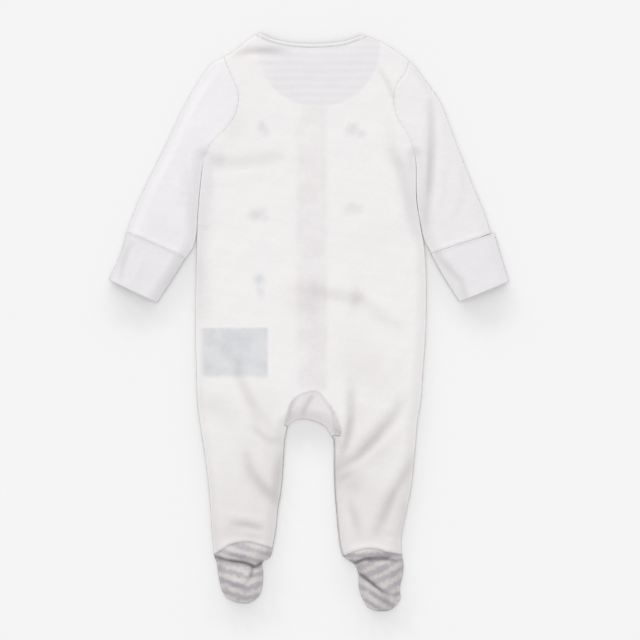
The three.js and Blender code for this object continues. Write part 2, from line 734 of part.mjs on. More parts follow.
const bodyRuns = [
  edgeRuns.leftTop,
  edgeRuns.rightTop,
  edgeRuns.leftSide,
  edgeRuns.rightSide,
  edgeRuns.legs,
  edgeRuns.leftFoot,
  edgeRuns.rightFoot,
];

// Adds a leg under the hip line: its columns are the body's, and some more to the crotch
const legColumns = (which, columns) => {
  const inner = new THREE.Vector2(
    which === "left" ? crotchRows[0].x : crotchRows[crotchRows.length - 1].x,
    which === "left" ? crotchRows[0].y : crotchRows[crotchRows.length - 1].y,
  );
  const hip = columns
    .filter((u) => (which === "left" ? u <= HIP_LEFT : u >= HIP_RIGHT))
    .map(hipLine);
  const points = which === "left" ? [...hip, inner] : [inner, ...hip];
  const total = points[0].distanceTo(points[points.length - 1]);
  return { points, stops: points.map((point) => point.distanceTo(points[0]) / total) };
};
const addLeg = (wall, which, columns, down, skin, faceDown = false) => {
  const { points, stops } = legColumns(which, columns);
  const legTop = which === "left" ? LEG_TOP_LEFT : LEG_TOP_RIGHT;
  const outer = betweenHeights(side[which], legTop, sideRows[sideRows.length - 1].y);
  const inner = (v) => beside(innerLeg[which], v);
  const edges = which === "left" ? [outer, inner] : [inner, outer];
  const seam = (u) => beside(ankle[which], u, -HALF_GAP);
  const options = { faceDown, seams: ["bottom"] };
  wall.sheet(patch(through(stops, points), seam, ...edges), stops, down, skin, options);
};

// Back: a yoke between the armholes, the torso, and two legs either side of the gusset
const backPanel = () => {
  const skin = upperSkin(bodyRuns);
  const top = through(acrossBack, acrossBack.map(backTop));
  const middle = through(acrossBack, acrossBack.map(underarmLine));
  const bottom = through(acrossBack, acrossBack.map(hipLine));
  const torsoSides = [
    betweenHeights(side.left, UNDERARM_Y, LEG_TOP_LEFT),
    betweenHeights(side.right, UNDERARM_Y, LEG_TOP_RIGHT),
  ];
  const wall = new Wall();
  const yoke = patch(top, middle, bodyArmhole.left, bodyArmhole.right);
  wall.sheet(yoke, acrossBack, acrossArm, skin, { seams: ["left", "right"] });
  wall.sheet(patch(middle, bottom, ...torsoSides), acrossBack, downTorso, skin);
  addLeg(wall, "left", acrossBack, downLeg, skin);
  addLeg(wall, "right", acrossBack, downLeg, skin);
  return wall.geometry();
};

// Fronts: each from its side to its band, raised a little at the band and over the pocket
const front = (which) => {
  const isLeft = which === "left";
  const columns = isLeft ? acrossLeftFront : acrossRightFront;
  const gap = isLeft ? -HALF_GAP : HALF_GAP;
  const bandX = (isLeft ? BAND_LEFT : BAND_RIGHT) + gap;
  const bandStop = isLeft ? LEFT_BAND_STOP.column : RIGHT_BAND_STOP.column;
  const lowest = frontLevels[frontLevels.length - 1];
  const legTop = isLeft ? LEG_TOP_LEFT : LEG_TOP_RIGHT;
  const skin = flatDown(isLeft ? leftLift : rightLift);
  const atBand = (point) => new THREE.Vector2(bandX, point.y);
  const stops = columns.map((u) => share(u, columns[0], columns[columns.length - 1]));
  const edgePoints = (line) =>
    columns.map((u) => (u === bandStop ? atBand(line(u)) : line(u)));
  const level = (y) => {
    const outer = betweenHeights(side[which], UNDERARM_Y, y)(1);
    const ends = isLeft ? [outer, new THREE.Vector2(bandX, y)] : [new THREE.Vector2(bandX, y), outer];
    return (u) => straight(...ends)(u);
  };
  const underarmCorner = bodyArmhole[which](1);
  const underarmEnds = isLeft
    ? [underarmCorner, new THREE.Vector2(bandX, underarmCorner.y)]
    : [new THREE.Vector2(bandX, underarmCorner.y), underarmCorner];
  const top = through(stops, edgePoints(frontTop));
  const middle = (u) => straight(...underarmEnds)(u);
  const bottom = through(stops, edgePoints(hipLine));
  const sides = (outer, upper, lower) => {
    const inner = straight(atBand(upper), atBand(lower));
    return isLeft ? [outer, inner] : [inner, outer];
  };
  const bandEnd = (line) => line(isLeft ? 1 : 0);
  const wall = new Wall();
  wall.sheet(
    patch(top, middle, ...sides(bodyArmhole[which], bandEnd(top), bandEnd(middle))),
    stops,
    acrossArm,
    skin,
    { faceDown: true },
  );
  const down = frontLevels.map((y) => share(y, frontLevels[0], lowest));
  const torsoSide = betweenHeights(side[which], UNDERARM_Y, lowest);
  wall.sheet(
    patch(middle, level(lowest), ...sides(torsoSide, bandEnd(middle), bandEnd(level(lowest)))),
    stops,
    down,
    skin,
    { faceDown: true },
  );
  const hipSide = betweenHeights(side[which], lowest, legTop);
  wall.sheet(
    patch(level(lowest), bottom, ...sides(hipSide, bandEnd(level(lowest)), bandEnd(bottom))),
    stops,
    halves,
    skin,
    { faceDown: true },
  );
  addLeg(wall, which, columns, downFrontLeg, skin, true);
  return wall.geometry();
};

// Snap bands, one over the other, from the front neck to the arch
const band = (lift) => {
  const stops = bandColumns.map((u) => share(u, LEFT_BAND_STOP.column, RIGHT_BAND_STOP.column));
  const within = (point) =>
    point.setX(clamp(point.x, BAND_LEFT + HALF_GAP, BAND_RIGHT - HALF_GAP));
  const neck = (u) =>
    within(belowBinding(frontNeck, lerp(bandOnNeck.left, bandOnNeck.right, u)));
  const lowerEdge = through(
    stops,
    bandColumns.map((column) => within(bodyArch(column))),
  );
  const sides = [0, 1].map((u) => straight(neck(u), lowerEdge(u)));
  const plan = patch(neck, lowerEdge, ...sides);
  return new Wall()
    .sheet(plan, stops, downBand, flatDown(() => lift), { faceDown: true })
    .geometry();
};

// Gusset: folded at the crotch, so that one sheet is on the back and one on the front
const gusset = () => {
  const columns = archStops.map((stop) => stop.column);
  const stops = columns.map((u) => share(u, HIP_LEFT, HIP_RIGHT));
  const inside = (fraction) => clamp(fraction, GUSSET_CLEAR, 1 - GUSSET_CLEAR);
  const top = through(
    stops,
    columns.map((u) => beside(arch, inside(archAlong(u)), HALF_GAP)),
  );
  const bottom = (u) => beside(crotch, lerp(CROTCH_CLEAR, 1 - CROTCH_CLEAR, u));
  const plan = patch(top, bottom, straight(top(0), bottom(0)), straight(top(1), bottom(1)));
  return new Wall()
    .sheet(plan, stops, downGusset, upperSkin(bodyRuns), { seams: ["top", "left", "right"] })
    .sheet(plan, stops, downGusset, lowerSkin(bodyRuns), { faceDown: true })
    .geometry();
};

// Neck binding: one strip round the neck, folded over each shoulder, its ends crossing at the bands
const neckBinding = () => {
  const foldEnd = (which) => beside(shoulder[which], BINDING_END);
  const strip = (curve) => {
    const sewn = (u) => {
      if (u === 0) return foldEnd("left");
      if (u === 1) return foldEnd("right");
      return beside(curve, u, BINDING_WIDTH);
    };
    return patch((u) => beside(curve, u), sewn);
  };
  const alongBack = acrossBack
    .filter((u) => u >= NECK_LEFT && u <= NECK_RIGHT)
    .map((u) => share(u, NECK_LEFT, NECK_RIGHT));
  const alongLeft = acrossLeftFront
    .filter((u) => u >= NECK_LEFT)
    .map((u) => bandOnNeck.left * share(u, NECK_LEFT, LEFT_BAND_STOP.column));
  const alongRight = acrossRightFront
    .filter((u) => u <= NECK_RIGHT)
    .map((u) => lerp(bandOnNeck.right, 1, share(u, RIGHT_BAND_STOP.column, NECK_RIGHT)));
  const alongBands = bandColumns
    .map((u) => share(u, LEFT_BAND_STOP.column, RIGHT_BAND_STOP.column))
    .map((u) => lerp(bandOnNeck.left, bandOnNeck.right, u));
  const leftStops = [...alongLeft, ...alongBands.slice(1, -1), bandOnNeck.right - BINDING_CLEAR];
  const rightStops = [bandOnNeck.left + BINDING_CLEAR, ...alongBands.slice(1, -1), ...alongRight];
  const back = upperSkin(bodyRuns, BINDING_RISE, BINDING_UNDERSIDE);
  const [leftFront, rightFront] = [lowerSkin(bodyRuns, leftLift), lowerSkin(bodyRuns, rightLift)];
  return new Wall()
    .sheet(strip(backNeck), alongBack, edgeToEdge, back)
    .sheet(strip(frontNeck), leftStops, edgeToEdge, leftFront, { faceDown: true })
    .sheet(strip(frontNeck), rightStops, edgeToEdge, rightFront, { faceDown: true })
    .geometry();
};

// Half-moon facing, between the back and the fronts
const neckFacing = () => {
  const top = (u) => belowBinding(backNeck, lerp(FACING_FROM, FACING_TO, u));
  const lower = curveOf(facingRows);
  const bottom = (u) => beside(lower, u);
  const plan = patch(top, bottom, straight(top(0), bottom(0)), straight(top(1), bottom(1)));
  return new Wall().sheet(plan, acrossFacing, downFacing, flatUp(FACING_HEIGHT)).geometry();
};

// A tube laid flat: its upper and lower sheets meet at both long edges
const tube = (plan, across, down, runs, rise = 0) => {
  const seams = ["top", "bottom"];
  return new Wall()
    .sheet(plan, across, down, upperSkin(runs, rise), { seams })
    .sheet(plan, across, down, lowerSkin(runs), { faceDown: true, seams })
    .geometry();
};

// Edges of an arm piece in the order of x: the left arm starts at its outer edge
const inOrder = (which, outer, inner) => (which === "left" ? [outer, inner] : [inner, outer]);
const rowEnds = (which, row, shift) =>
  inOrder(
    which,
    new THREE.Vector2(row.overX, row.overY).add(shift),
    new THREE.Vector2(row.underX, row.underY).add(shift),
  );

const sleeve = (which) => {
  const isLeft = which === "left";
  const seam = (u) =>
    isLeft ? beside(armhole.left, u, HALF_GAP) : beside(armhole.right, 1 - u, -HALF_GAP);
  const rows = sleeveRows[which];
  const up = new THREE.Vector2(0, HALF_GAP);
  const end = straight(...rowEnds(which, rows[rows.length - 1], up));
  const sides = inOrder(
    which,
    (v) => beside(overarm[which], v),
    (v) => beside(underarm[which], v),
  );
  const runs = isLeft
    ? [edgeRuns.leftTop, edgeRuns.leftUnderarm]
    : [edgeRuns.rightTop, edgeRuns.rightUnderarm];
  const plan = patch(seam, end, ...sides, ARMHOLE_BEND);
  return tube(plan, acrossSleeve[which], downSleeve, runs);
};

const cuff = (which) => {
  const isLeft = which === "left";
  const rows = cuffRows[which];
  const over = curveOf(rows, "overX", "overY");
  const under = curveOf(rows, "underX", "underY");
  const down = new THREE.Vector2(0, -HALF_GAP);
  const top = straight(...rowEnds(which, rows[0], down));
  const bottom = straight(...rowEnds(which, rows[rows.length - 1], new THREE.Vector2()));
  const sides = inOrder(
    which,
    (v) => beside(over, v),
    (v) => beside(under, v),
  );
  const runs = [run([over, !isLeft]), run([under, isLeft])];
  return tube(patch(top, bottom, ...sides), acrossArm, downCuff, runs, CUFF_RISE);
};

// Feet: the striped sole above, as the garment lies, and the top of the foot below it
const foot = (which, columns, down, skin, faceDown) => {
  const { stops } = legColumns(which, columns);
  const seam = (u) => beside(ankle[which], u, HALF_GAP);
  const { left, toe, right } = footEdge[which];
  const plan = patch(
    seam,
    (u) => beside(toe, u),
    (v) => beside(left, v),
    (v) => beside(right, v),
  );
  return new Wall().sheet(plan, stops, down, skin, { faceDown, seams: ["top"] }).geometry();
};

// Patch pocket, outside the left front
const pocket = () => {
  const plan = (u, v) =>
    new THREE.Vector2(lerp(POCKET.left, POCKET.right, u), lerp(POCKET.top, POCKET.bottom, v));
  return new Wall()
    .sheet(plan, halves, halves, flatDown(() => 0), { faceDown: true })
    .geometry();
};

// Press stud: a dished cap
const stud = () => {
  const profile = studProfile.map(({ radius, height }) => new THREE.Vector2(radius, height));
  return new THREE.LatheGeometry(profile, STUD_SIDES).rotateX(Math.PI / 2);
};

add("back_panel", backPanel(), materials.jersey);
add("placket_over", band(OVER_LIFT), materials.jersey);
add("placket_under", band(UNDER_LIFT), materials.jersey);
add("gusset", gusset(), materials.jersey);
add("neck_binding", neckBinding(), materials.jersey);
add("neck_facing", neckFacing(), materials.facing);
add("pocket", pocket(), materials.pocket);
for (const which of ["left", "right"]) {
  add(`front_${which}`, front(which), materials.jersey);
  add(`sleeve_${which}`, sleeve(which), materials.jersey);
  add(`cuff_${which}`, cuff(which), materials.rib);
  const frontColumns = which === "left" ? acrossLeftFront : acrossRightFront;
  add(`sole_${which}`, foot(which, acrossBack, downFoot, upperSkin(bodyRuns)), materials.stripe);
  const upper = foot(which, frontColumns, downFrontFoot, flatDown(() => 0), true);
  add(`foot_upper_${which}`, upper, materials.jersey);
}
for (let i = 0; i < STUD_COUNT; i++) {
  const mesh = add(`snap_${i + 1}`, stud(), materials.stud);
  mesh.position.set((BAND_LEFT + BAND_RIGHT) / 2, FIRST_STUD_Y - i * STUD_PITCH, 0);
}

export default sleepsuit;
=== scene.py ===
# Footed baby sleepsuit, laid flat on its front: cloth, thread, print, floor and light.
# The tables are in millimetres, as in the part's source. x runs to the wearer's right, y up to the
# neck and z up from the surface. Every mesh is made in metres.
import math

import bpy
import numpy as np
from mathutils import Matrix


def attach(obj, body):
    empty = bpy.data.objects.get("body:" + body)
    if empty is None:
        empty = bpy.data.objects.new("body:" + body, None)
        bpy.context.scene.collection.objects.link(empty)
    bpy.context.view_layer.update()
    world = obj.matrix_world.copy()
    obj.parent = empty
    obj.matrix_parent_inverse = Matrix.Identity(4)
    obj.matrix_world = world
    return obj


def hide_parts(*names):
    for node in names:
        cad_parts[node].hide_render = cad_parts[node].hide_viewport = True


bl_info = {
    "name": "Footed baby sleepsuit",
    "version": (1, 0, 0),
    "blender": (4, 5, 0),
    "location": "View3D > Sidebar > Sleepsuit",
    "description": "Makes a footed jersey sleepsuit, laid flat with its back up",
    "category": "Add Mesh",
}

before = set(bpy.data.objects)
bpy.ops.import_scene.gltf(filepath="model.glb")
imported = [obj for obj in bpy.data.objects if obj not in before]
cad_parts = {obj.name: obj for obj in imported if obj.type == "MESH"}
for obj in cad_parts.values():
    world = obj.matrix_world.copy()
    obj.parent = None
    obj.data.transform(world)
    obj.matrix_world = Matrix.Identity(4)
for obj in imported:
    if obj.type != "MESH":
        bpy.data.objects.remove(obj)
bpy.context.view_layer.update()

MM = 0.001
BODY = "root"

# Cloth and seams
CLOTH = 0.8
HALF_GAP = 0.02
ROLL_WIDTH = 10.0
ROLL_HEIGHT = 4.5
SOFT_ROLL_WIDTH = 13.0
NECK_DROP = 1.5
NECK_DROP_WIDTH = 9.0
ROUND_SHARE = 0.2
SHOULDER_ROLL_Y = 235
SHOULDER_ROLL_RISE = 25
EDGE_HEIGHT = 1.15
UNDER_ROLL = 3.0
ON_EDGE = 0.05
BINDING_WIDTH = 3.7
BINDING_GAP = 0.04
FACING_HEIGHT = 2.4
LOWEST_BACK = 3.2
LOWEST_OVER_BANDS = 4.2
BELOW_LOWEST = 0.25  # how much of a dip under the lowest height is left

# Press studs and the bands that they close
STUD_RADIUS = 4.6
STUD_HEIGHT = 0.6
STUD_COUNT = 8
STUD_PITCH = 37.0
FIRST_STUD_Y = 218.0
BAND_LEFT = -12.0
BAND_RIGHT = 18.0
OVER_LIFT = 0.9
UNDER_LIFT = 2.2
BAND_SLOPE = 12.0
BAND_END_Y = -98.0

# Patch pocket: left, right, top, bottom
POCKET = (-104.0, -41.0, -6.0, -55.0)
POCKET_MARGIN = 3.0
POCKET_LIFT = 1.3
POCKET_SLOPE = 1.5

UNDERARM_Y = 165.0
LEG_TOP = {"left": -103.5, "right": -114.0}

# Outline of the body: y, left x, right x
SIDES = [
    (165, -105, 106.5), (157, -106.3, 107.2), (122, -110, 107.6), (98, -111.5, 111.3),
    (70, -112.3, 115.8), (1, -113.4, 117), (-51, -112.4, 113.8), (-80, -111.5, 111.5),
    (-100, -109, 108.3), (-133, -104, 105.6), (-166, -100, 102), (-205, -97.2, 94),
    (-218, -96, 92), (-232, -94.7, 92.6),
]
INNER_LEGS = [
    (-118, -24, 24.5), (-133, -25, 24.8), (-151, -26, 25), (-171, -28, 25.8),
    (-188, -31, 27.2), (-208, -33, 29), (-226, -36.2, 31.4),
]
RIGHT_ANKLE = (34, -234)
CROTCH = [(-21.3, -104), (-15, -98.6), (-4, -97), (5, -99), (17, -105), (22.8, -114.2)]
ARCH = [
    (-24.6, -103.5), (-21, -93), (-16.5, -80.5), (-6, -72.5), (8, -70.5), (18, -81), (26, -94),
    (30.6, -106), (31, -114),
]
SHOULDERS = {
    "left": [(-50, 289), (-61, 282), (-72, 272.5), (-85, 264.5)],
    "right": [(54, 287), (72, 280), (88, 270), (100, 261)],
}
BACK_NECK = [(-50, 289), (-37, 283), (-21, 279.4), (-8, 278), (15, 278), (35, 280.4), (54, 287)]
FRONT_NECK = [
    (-50, 289), (-46, 274), (-36, 259), (-22, 250.5), (3, 248), (28, 250.5), (42, 259), (51, 273),
    (54, 287),
]
ARMHOLES = {
    "left": [
        (-85, 264.5), (-77, 245), (-70.5, 229), (-72, 211), (-81, 195), (-95.5, 180), (-105, 165),
    ],
    "right": [
        (100, 261), (95.5, 248), (87.5, 237), (84.5, 222), (88, 205), (100, 184), (106.5, 165),
    ],
}
# Sleeves and cuffs, one row a section: x and y on the outer edge, x and y on the inner one
SLEEVES = {
    "left": [
        (-85, 264.5, -105, 165), (-96, 259, -105.8, 161.6), (-107, 245, -107.25, 151),
        (-124, 217, -109.25, 132), (-142.5, 177.5, -111.1, 110), (-163, 136.5, -112.4, 88),
        (-175.5, 108, -116, 74), (-182, 90, -123, 64),
    ],
    "right": [
        (100, 261, 106.5, 165), (107, 254.5, 107.2, 160), (115, 243, 107.45, 150),
        (130, 222, 107.45, 132), (145, 184, 108.65, 115), (161, 143, 111.75, 97),
        (174, 112, 115.2, 82), (182, 88, 122.5, 68.5),
    ],
}
CUFFS = {
    "left": [(-182, 90, -123, 64), (-188, 68.5, -137, 41.5), (-200, 42.3, -151.8, 19)],
    "right": [(185.4, 89, 121.5, 68.1), (192, 66, 135.5, 43.5), (200, 40.4, 150.6, 20)],
}
# Feet: the ankle seam, the left and the right edge down to the toe, and the toe
FEET = {
    "left": {
        "ankle": [
            (-94.7, -232), (-86, -226.6), (-76.7, -221.5), (-60, -219.6), (-48, -222.4),
            (-36.2, -226),
        ],
        "left": [
            (-94.7, -232), (-94.3, -235), (-92, -240), (-90.6, -252), (-88.6, -262),
            (-85.6, -271), (-82, -276),
        ],
        "right": [
            (-36.2, -226), (-39, -235), (-46.4, -240), (-46, -252), (-46.4, -262),
            (-48.6, -271), (-50.4, -274.6),
        ],
        "toe": [(-82, -276), (-75, -279.4), (-64, -281.4), (-56, -279), (-50.4, -274.6)],
    },
    "right": {
        "ankle": [
            (34, -234), (44.5, -229.6), (57.4, -226), (68, -226.4), (78, -229.6), (92.6, -232),
        ],
        "left": [
            (34, -234), (38, -237), (46, -243), (49.6, -252), (50, -266), (54, -277),
            (58.5, -284.6),
        ],
        "right": [
            (92.6, -232), (93.4, -237), (94.3, -243), (93.6, -252), (90.6, -266), (91.2, -277),
            (87.6, -282.6),
        ],
        "toe": [(58.5, -284.6), (65, -288), (74, -289), (82, -287.4), (87.6, -282.6)],
    },
}
FACING = [
    (-50.5, 268), (-47, 246), (-33, 228), (-9, 217), (3, 216), (18, 218.4), (42, 229), (57, 243),
    (64, 262),
]

# Folds of the cloth as it lies: height, half-width, path. A trough has a height under 0.
FOLDS = [
    # Body
    (-1.5, 4, [(-73, 269), (-57, 270), (-43, 270), (-28, 269)]),
    (0.7, 4, [(-65, 262), (-47, 262), (-31, 260)]),
    (-1.1, 8, [(-97, 155), (-74, 157), (-49, 160), (-24, 164)]),
    (0.6, 7, [(-95, 143), (-59, 147), (-33, 151)]),
    (-1, 4, [(-98, 165), (-99, 144), (-98, 122)]),
    (-1, 3, [(-110, 93), (-99, 92)]),
    (-1.4, 6, [(79, 172), (95, 146), (100, 111), (107, 81)]),
    (0.9, 6, [(69, 162), (84, 136), (89, 107), (96, 77)]),
    (-0.9, 7, [(-22, 35), (-1, 29), (20, 25), (41, 21), (55, 18), (75, 1), (98, -11)]),
    (0.8, 6, [(-19, 44), (21, 34), (57, 28), (81, 11)]),
    (-0.7, 3.5, [(71, 252), (79, 238), (85, 222)]),
    (0.6, 3, [(78, 254), (86, 239), (90, 226)]),
    # Left leg
    (-1.8, 5.5, [(-87, -25), (-72, -44), (-68, -58), (-56, -81), (-48, -94), (-36, -109), (-24, -123)]),
    (1, 6, [(-75, -23), (-59, -46), (-53, -68), (-43, -86), (-29, -106)]),
    (1, 6, [(-95, -38), (-81, -62), (-69, -86), (-57, -106)]),
    (-1.2, 3.5, [(-54, -108), (-45, -116), (-37, -120), (-27, -120)]),
    (-1.7, 5, [(-62, -131), (-60, -142), (-56, -153), (-46, -166), (-34, -178)]),
    (0.9, 4.5, [(-51, -133), (-45, -152), (-35, -164)]),
    (-1.2, 3.5, [(-28, -134), (-32, -148), (-34, -158), (-31, -175)]),
    (-1.5, 3.5, [(-79, -200), (-69, -202.5), (-61, -204), (-45, -207)]),
    (0.8, 4, [(-79, -192), (-61, -195), (-45, -199)]),
    (-0.9, 3, [(-63, -215), (-55, -216), (-45, -217.5)]),
    # Right leg
    (-1.8, 4.5, [(41, -70), (42, -88), (42, -100), (39, -116), (33, -131)]),
    (0.7, 3.5, [(34, -73), (35, -98), (32, -115)]),
    (0.9, 5, [(51, -76), (52, -102), (48, -118)]),
    (-2, 5.5, [(91, -80), (87, -92), (81, -101), (64, -120), (48, -135), (32, -143)]),
    (1.1, 6, [(79, -82), (70, -98), (55, -113), (42, -127)]),
    (0.9, 6, [(93, -102), (79, -119), (61, -135), (41, -148)]),
    (-1.7, 5.5, [(103, -138), (98, -150), (93, -161), (81, -178), (69, -201)]),
    (1, 6, [(89, -141), (81, -160), (69, -178)]),
    (-1.3, 3.5, [(27, -160), (34, -157), (43, -152)]),
    (-0.8, 4, [(41, -181), (44, -193), (48, -206)]),
    (-0.8, 3, [(92, -186), (100, -186)]),
    (-0.8, 3, [(77, -213), (85, -214)]),
    # Sleeves
    (-0.6, 5, [(-122, 150), (-119, 122), (-116, 92)]),
    (0.8, 5, [(-131, 142), (-127, 117)]),
    (-2, 4, [(122.6, 222), (122.6, 192), (122.6, 170), (121, 132), (117, 93)]),
    (1.1, 5, [(133, 202), (134, 162), (131, 117)]),
    (0.7, 4, [(113, 202), (114, 162), (110, 122)]),
    (-0.8, 4.5, [(154, 154), (156, 137), (156, 123), (150, 111), (143, 99)]),
    # Cuffs
    (-1.3, 3.5, [(-174, 79), (-180, 70), (-185, 58), (-188, 38)]),
    (0.6, 4, [(-163, 70), (-171, 52), (-177, 36)]),
    (-1.4, 3.5, [(127, 68), (135, 58), (143, 49), (152, 40), (158, 21)]),
    (0.6, 4, [(139, 68), (153, 52), (165, 38)]),
    # Gusset
    (-1.2, 2.5, [(-16, -79), (-18, -87), (-19, -96)]),
    (-1.3, 2.8, [(4, -74), (-1, -82), (-6, -93)]),
    (0.6, 2.5, [(-5, -76), (-10, -86)]),
    (-0.6, 1.6, [(21, -82), (24, -93), (25, -108)]),
    (-0.6, 1.4, [(27, -86), (29, -98), (29.5, -110)]),
    (-1.1, 2.2, [(27, -109), (33, -111)]),
    # Left foot
    (3.6, 7, [(-87, -230), (-75, -228), (-63, -229), (-51, -231), (-41, -230)]),
    (1.2, 4, [(-57, -236), (-47, -236), (-40, -232)]),
    (-3.4, 2.4, [
        (-94, -234), (-83, -237), (-73, -239), (-65, -240), (-59, -242), (-55, -245), (-51, -244),
        (-47, -240), (-43, -237),
    ]),
    (2.8, 15, [(-71, -255), (-67, -268)]),
    (-1.1, 2.2, [(-62, -259), (-58, -253), (-57, -246)]),
    (-0.8, 2, [(-58, -253), (-52, -257)]),
    (-0.8, 2, [(-67, -258), (-58, -253)]),
    (-1, 2, [(-71, -281), (-71, -275)]),
    # Right foot
    (3, 6, [(43, -232), (55, -228), (67, -228), (81, -231)]),
    (-3.4, 2.3, [(39, -238), (47, -241), (56, -237), (65, -237), (74, -236.5), (83, -235)]),
    (2.4, 9, [(75, -248), (83, -256)]),
    (-2.6, 2.4, [(51, -251), (55, -254), (62, -260), (68, -265), (76, -269)]),
    (2.6, 11, [(61, -268), (75, -278)]),
    (-1.2, 2, [(76, -269), (84, -268), (90, -266)]),
    (-1, 2, [(76, -282), (82, -275)]),
]

# Columns of the body as fractions of its width, and how far along the arch some of them end
NECK_LEFT = 0.18
NECK_RIGHT = 0.78
HIP_LEFT = 0.37
HIP_RIGHT = 0.655
BAND_COLUMNS = (0.44, 0.5816)
ARCH_COLUMNS = (HIP_LEFT, 0.405, 0.44, 0.487, 0.534, 0.5816, 0.61, 0.635, HIP_RIGHT)
ARCH_SHARES = (0, 0.143, None, 0.41, 0.529, None, 0.768, 0.893, 1)
SHOULDER_CORNER = 0.08
BINDING_END = 0.072
GUSSET_CLEAR = 0.004
CROTCH_CLEAR = 0.008
BINDING_CLEAR = 0.003
FACING_ENDS = (0.09, 0.91)
ARMHOLE_BEND = 7

CURVE_STEPS = 80
RUN_STEPS = 90
CHUNK = 4000
BOTH = ("left", "right")


def reach_along(points):
    """Length along a row of points, up to each of them."""
    return np.append(0, np.cumsum(np.linalg.norm(np.diff(points, axis=0), axis=1)))


def bell(distance, width):
    """1 at no distance, about a third at the width, and soon 0 beyond it."""
    return np.exp(-((distance / width) ** 2))


class Curve:
    """Centripetal spline through the rows of a table, read by fractions of its length."""

    def __init__(self, rows):
        p = np.asarray(rows, float)
        p = np.vstack([2 * p[0] - p[1], p, 2 * p[-1] - p[-2]])
        t = np.linspace(0, 1, CURVE_STEPS, endpoint=False)[:, None]
        spans = []
        for a, b, c, d in zip(p, p[1:], p[2:], p[3:]):
            ab, bc, cd = (math.sqrt(np.linalg.norm(n - m)) for m, n in ((a, b), (b, c), (c, d)))
            start = (b - a) * bc / ab - (c - a) * bc / (ab + bc) + (c - b)
            end = (c - b) - (d - b) * bc / (bc + cd) + (d - c) * bc / cd
            curve = (3 * (c - b) - 2 * start - end) * t**2 + (2 * (b - c) + start + end) * t**3
            spans.append(b + start * t + curve)
        self.points = np.vstack([*spans, p[-2]])
        reach = reach_along(self.points)
        self.length = reach[-1]
        self.fraction = reach / self.length

    def at(self, t):
        return np.stack([np.interp(t, self.fraction, self.points[:, k]) for k in (0, 1)], -1)

    def beside(self, t, offset=0.0):
        """Points at fractions of the length, moved to the right of the curve's direction."""
        t = np.asarray(t, float)
        ahead = self.at(np.minimum(t + 0.002, 1)) - self.at(np.maximum(t - 0.002, 0))
        ahead /= np.linalg.norm(ahead, axis=-1, keepdims=True)
        aside = np.stack([ahead[..., 1], -ahead[..., 0]], -1)
        return self.at(t) + aside * offset

    def between(self, high, low, t):
        """Points at heights from high to low, for a curve that runs down."""
        y = high + (low - high) * np.asarray(t, float)
        x = np.interp(-y, -self.points[:, 1], self.points[:, 0])
        return np.stack([x, y], -1)

    def share_at_x(self, x):
        return float(np.interp(x, self.points[:, 0], self.fraction))


def columns_of(rows, a, b):
    return Curve([(row[a], row[b]) for row in rows])


SIDE = {"left": Curve([(a, y) for y, a, b in SIDES]), "right": Curve([(b, y) for y, a, b in SIDES])}
INNER_LEG = {
    "left": Curve([CROTCH[0]] + [(a, y) for y, a, b in INNER_LEGS]),
    "right": Curve([CROTCH[-1]] + [(b, y) for y, a, b in INNER_LEGS] + [RIGHT_ANKLE]),
}
crotch = Curve(CROTCH)
arch = Curve(ARCH)
back_neck = Curve(BACK_NECK)
front_neck = Curve(FRONT_NECK)
SHOULDER = {which: Curve(rows) for which, rows in SHOULDERS.items()}
ARMHOLE = {which: Curve(rows) for which, rows in ARMHOLES.items()}
OVERARM = {which: columns_of(rows, 0, 1) for which, rows in SLEEVES.items()}
UNDERARM = {which: columns_of(rows, 2, 3) for which, rows in SLEEVES.items()}
CUFF_OVER = {which: columns_of(rows, 0, 1) for which, rows in CUFFS.items()}
CUFF_UNDER = {which: columns_of(rows, 2, 3) for which, rows in CUFFS.items()}
FOOT = {which: {edge: Curve(rows) for edge, rows in feet.items()} for which, feet in FEET.items()}


def run(*curves):
    """Outline through some curves, each forwards or backwards, with the cloth on its left."""
    t = np.linspace(0, 1, RUN_STEPS)
    return np.vstack([curve.at(t[::-1] if backwards else t) for curve, backwards in curves])


LEFT_TOP = run((SHOULDER["left"], False), (OVERARM["left"], False))
RIGHT_TOP = run((OVERARM["right"], True), (SHOULDER["right"], True))
BODY_RUNS = [
    LEFT_TOP,
    RIGHT_TOP,
    run((SIDE["left"], False)),
    run((SIDE["right"], True)),
    run((INNER_LEG["left"], True), (crotch, False), (INNER_LEG["right"], False)),
    *(
        run((foot["left"], False), (foot["toe"], False), (foot["right"], True))
        for foot in FOOT.values()
    ),
]
ARM_RUNS = {
    "left": [LEFT_TOP, run((UNDERARM["left"], True))],
    "right": [RIGHT_TOP, run((UNDERARM["right"], False))],
}
CUFF_RUNS = {
    "left": [run((CUFF_OVER["left"], False)), run((CUFF_UNDER["left"], True))],
    "right": [run((CUFF_OVER["right"], True)), run((CUFF_UNDER["right"], False))],
}


def nearest(points, path):
    """Distance to a path of short lines, signed to its left, the length along it, and its foot."""
    a, along = path[:-1], np.diff(path, axis=0)
    size = np.maximum(np.linalg.norm(along, axis=1), 1e-9)
    unit = along / size[:, None]
    starts = np.append(0, np.cumsum(size))[:-1]
    result = [np.empty(len(points)), np.empty(len(points)), np.empty((len(points), 2))]
    aside = np.empty((len(points), 2))
    for low in range(0, len(points), CHUNK):
        part = slice(low, low + CHUNK)
        gap = points[part, None] - a[None]
        reach = np.clip((gap * unit).sum(-1), 0, size)
        away = gap - reach[..., None] * unit
        far = (away**2).sum(-1)
        k = far.argmin(1)
        rows = np.arange(len(k))
        side = unit[k, 0] * gap[rows, k, 1] - unit[k, 1] * gap[rows, k, 0]
        result[0][part] = np.sqrt(far[rows, k]) * np.where(side < 0, -1, 1)
        result[1][part] = starts[k] + reach[rows, k]
        result[2][part] = points[part] - away[rows, k]
        aside[part] = np.stack([-unit[k, 1], unit[k, 0]], -1)
    return (*result, aside)


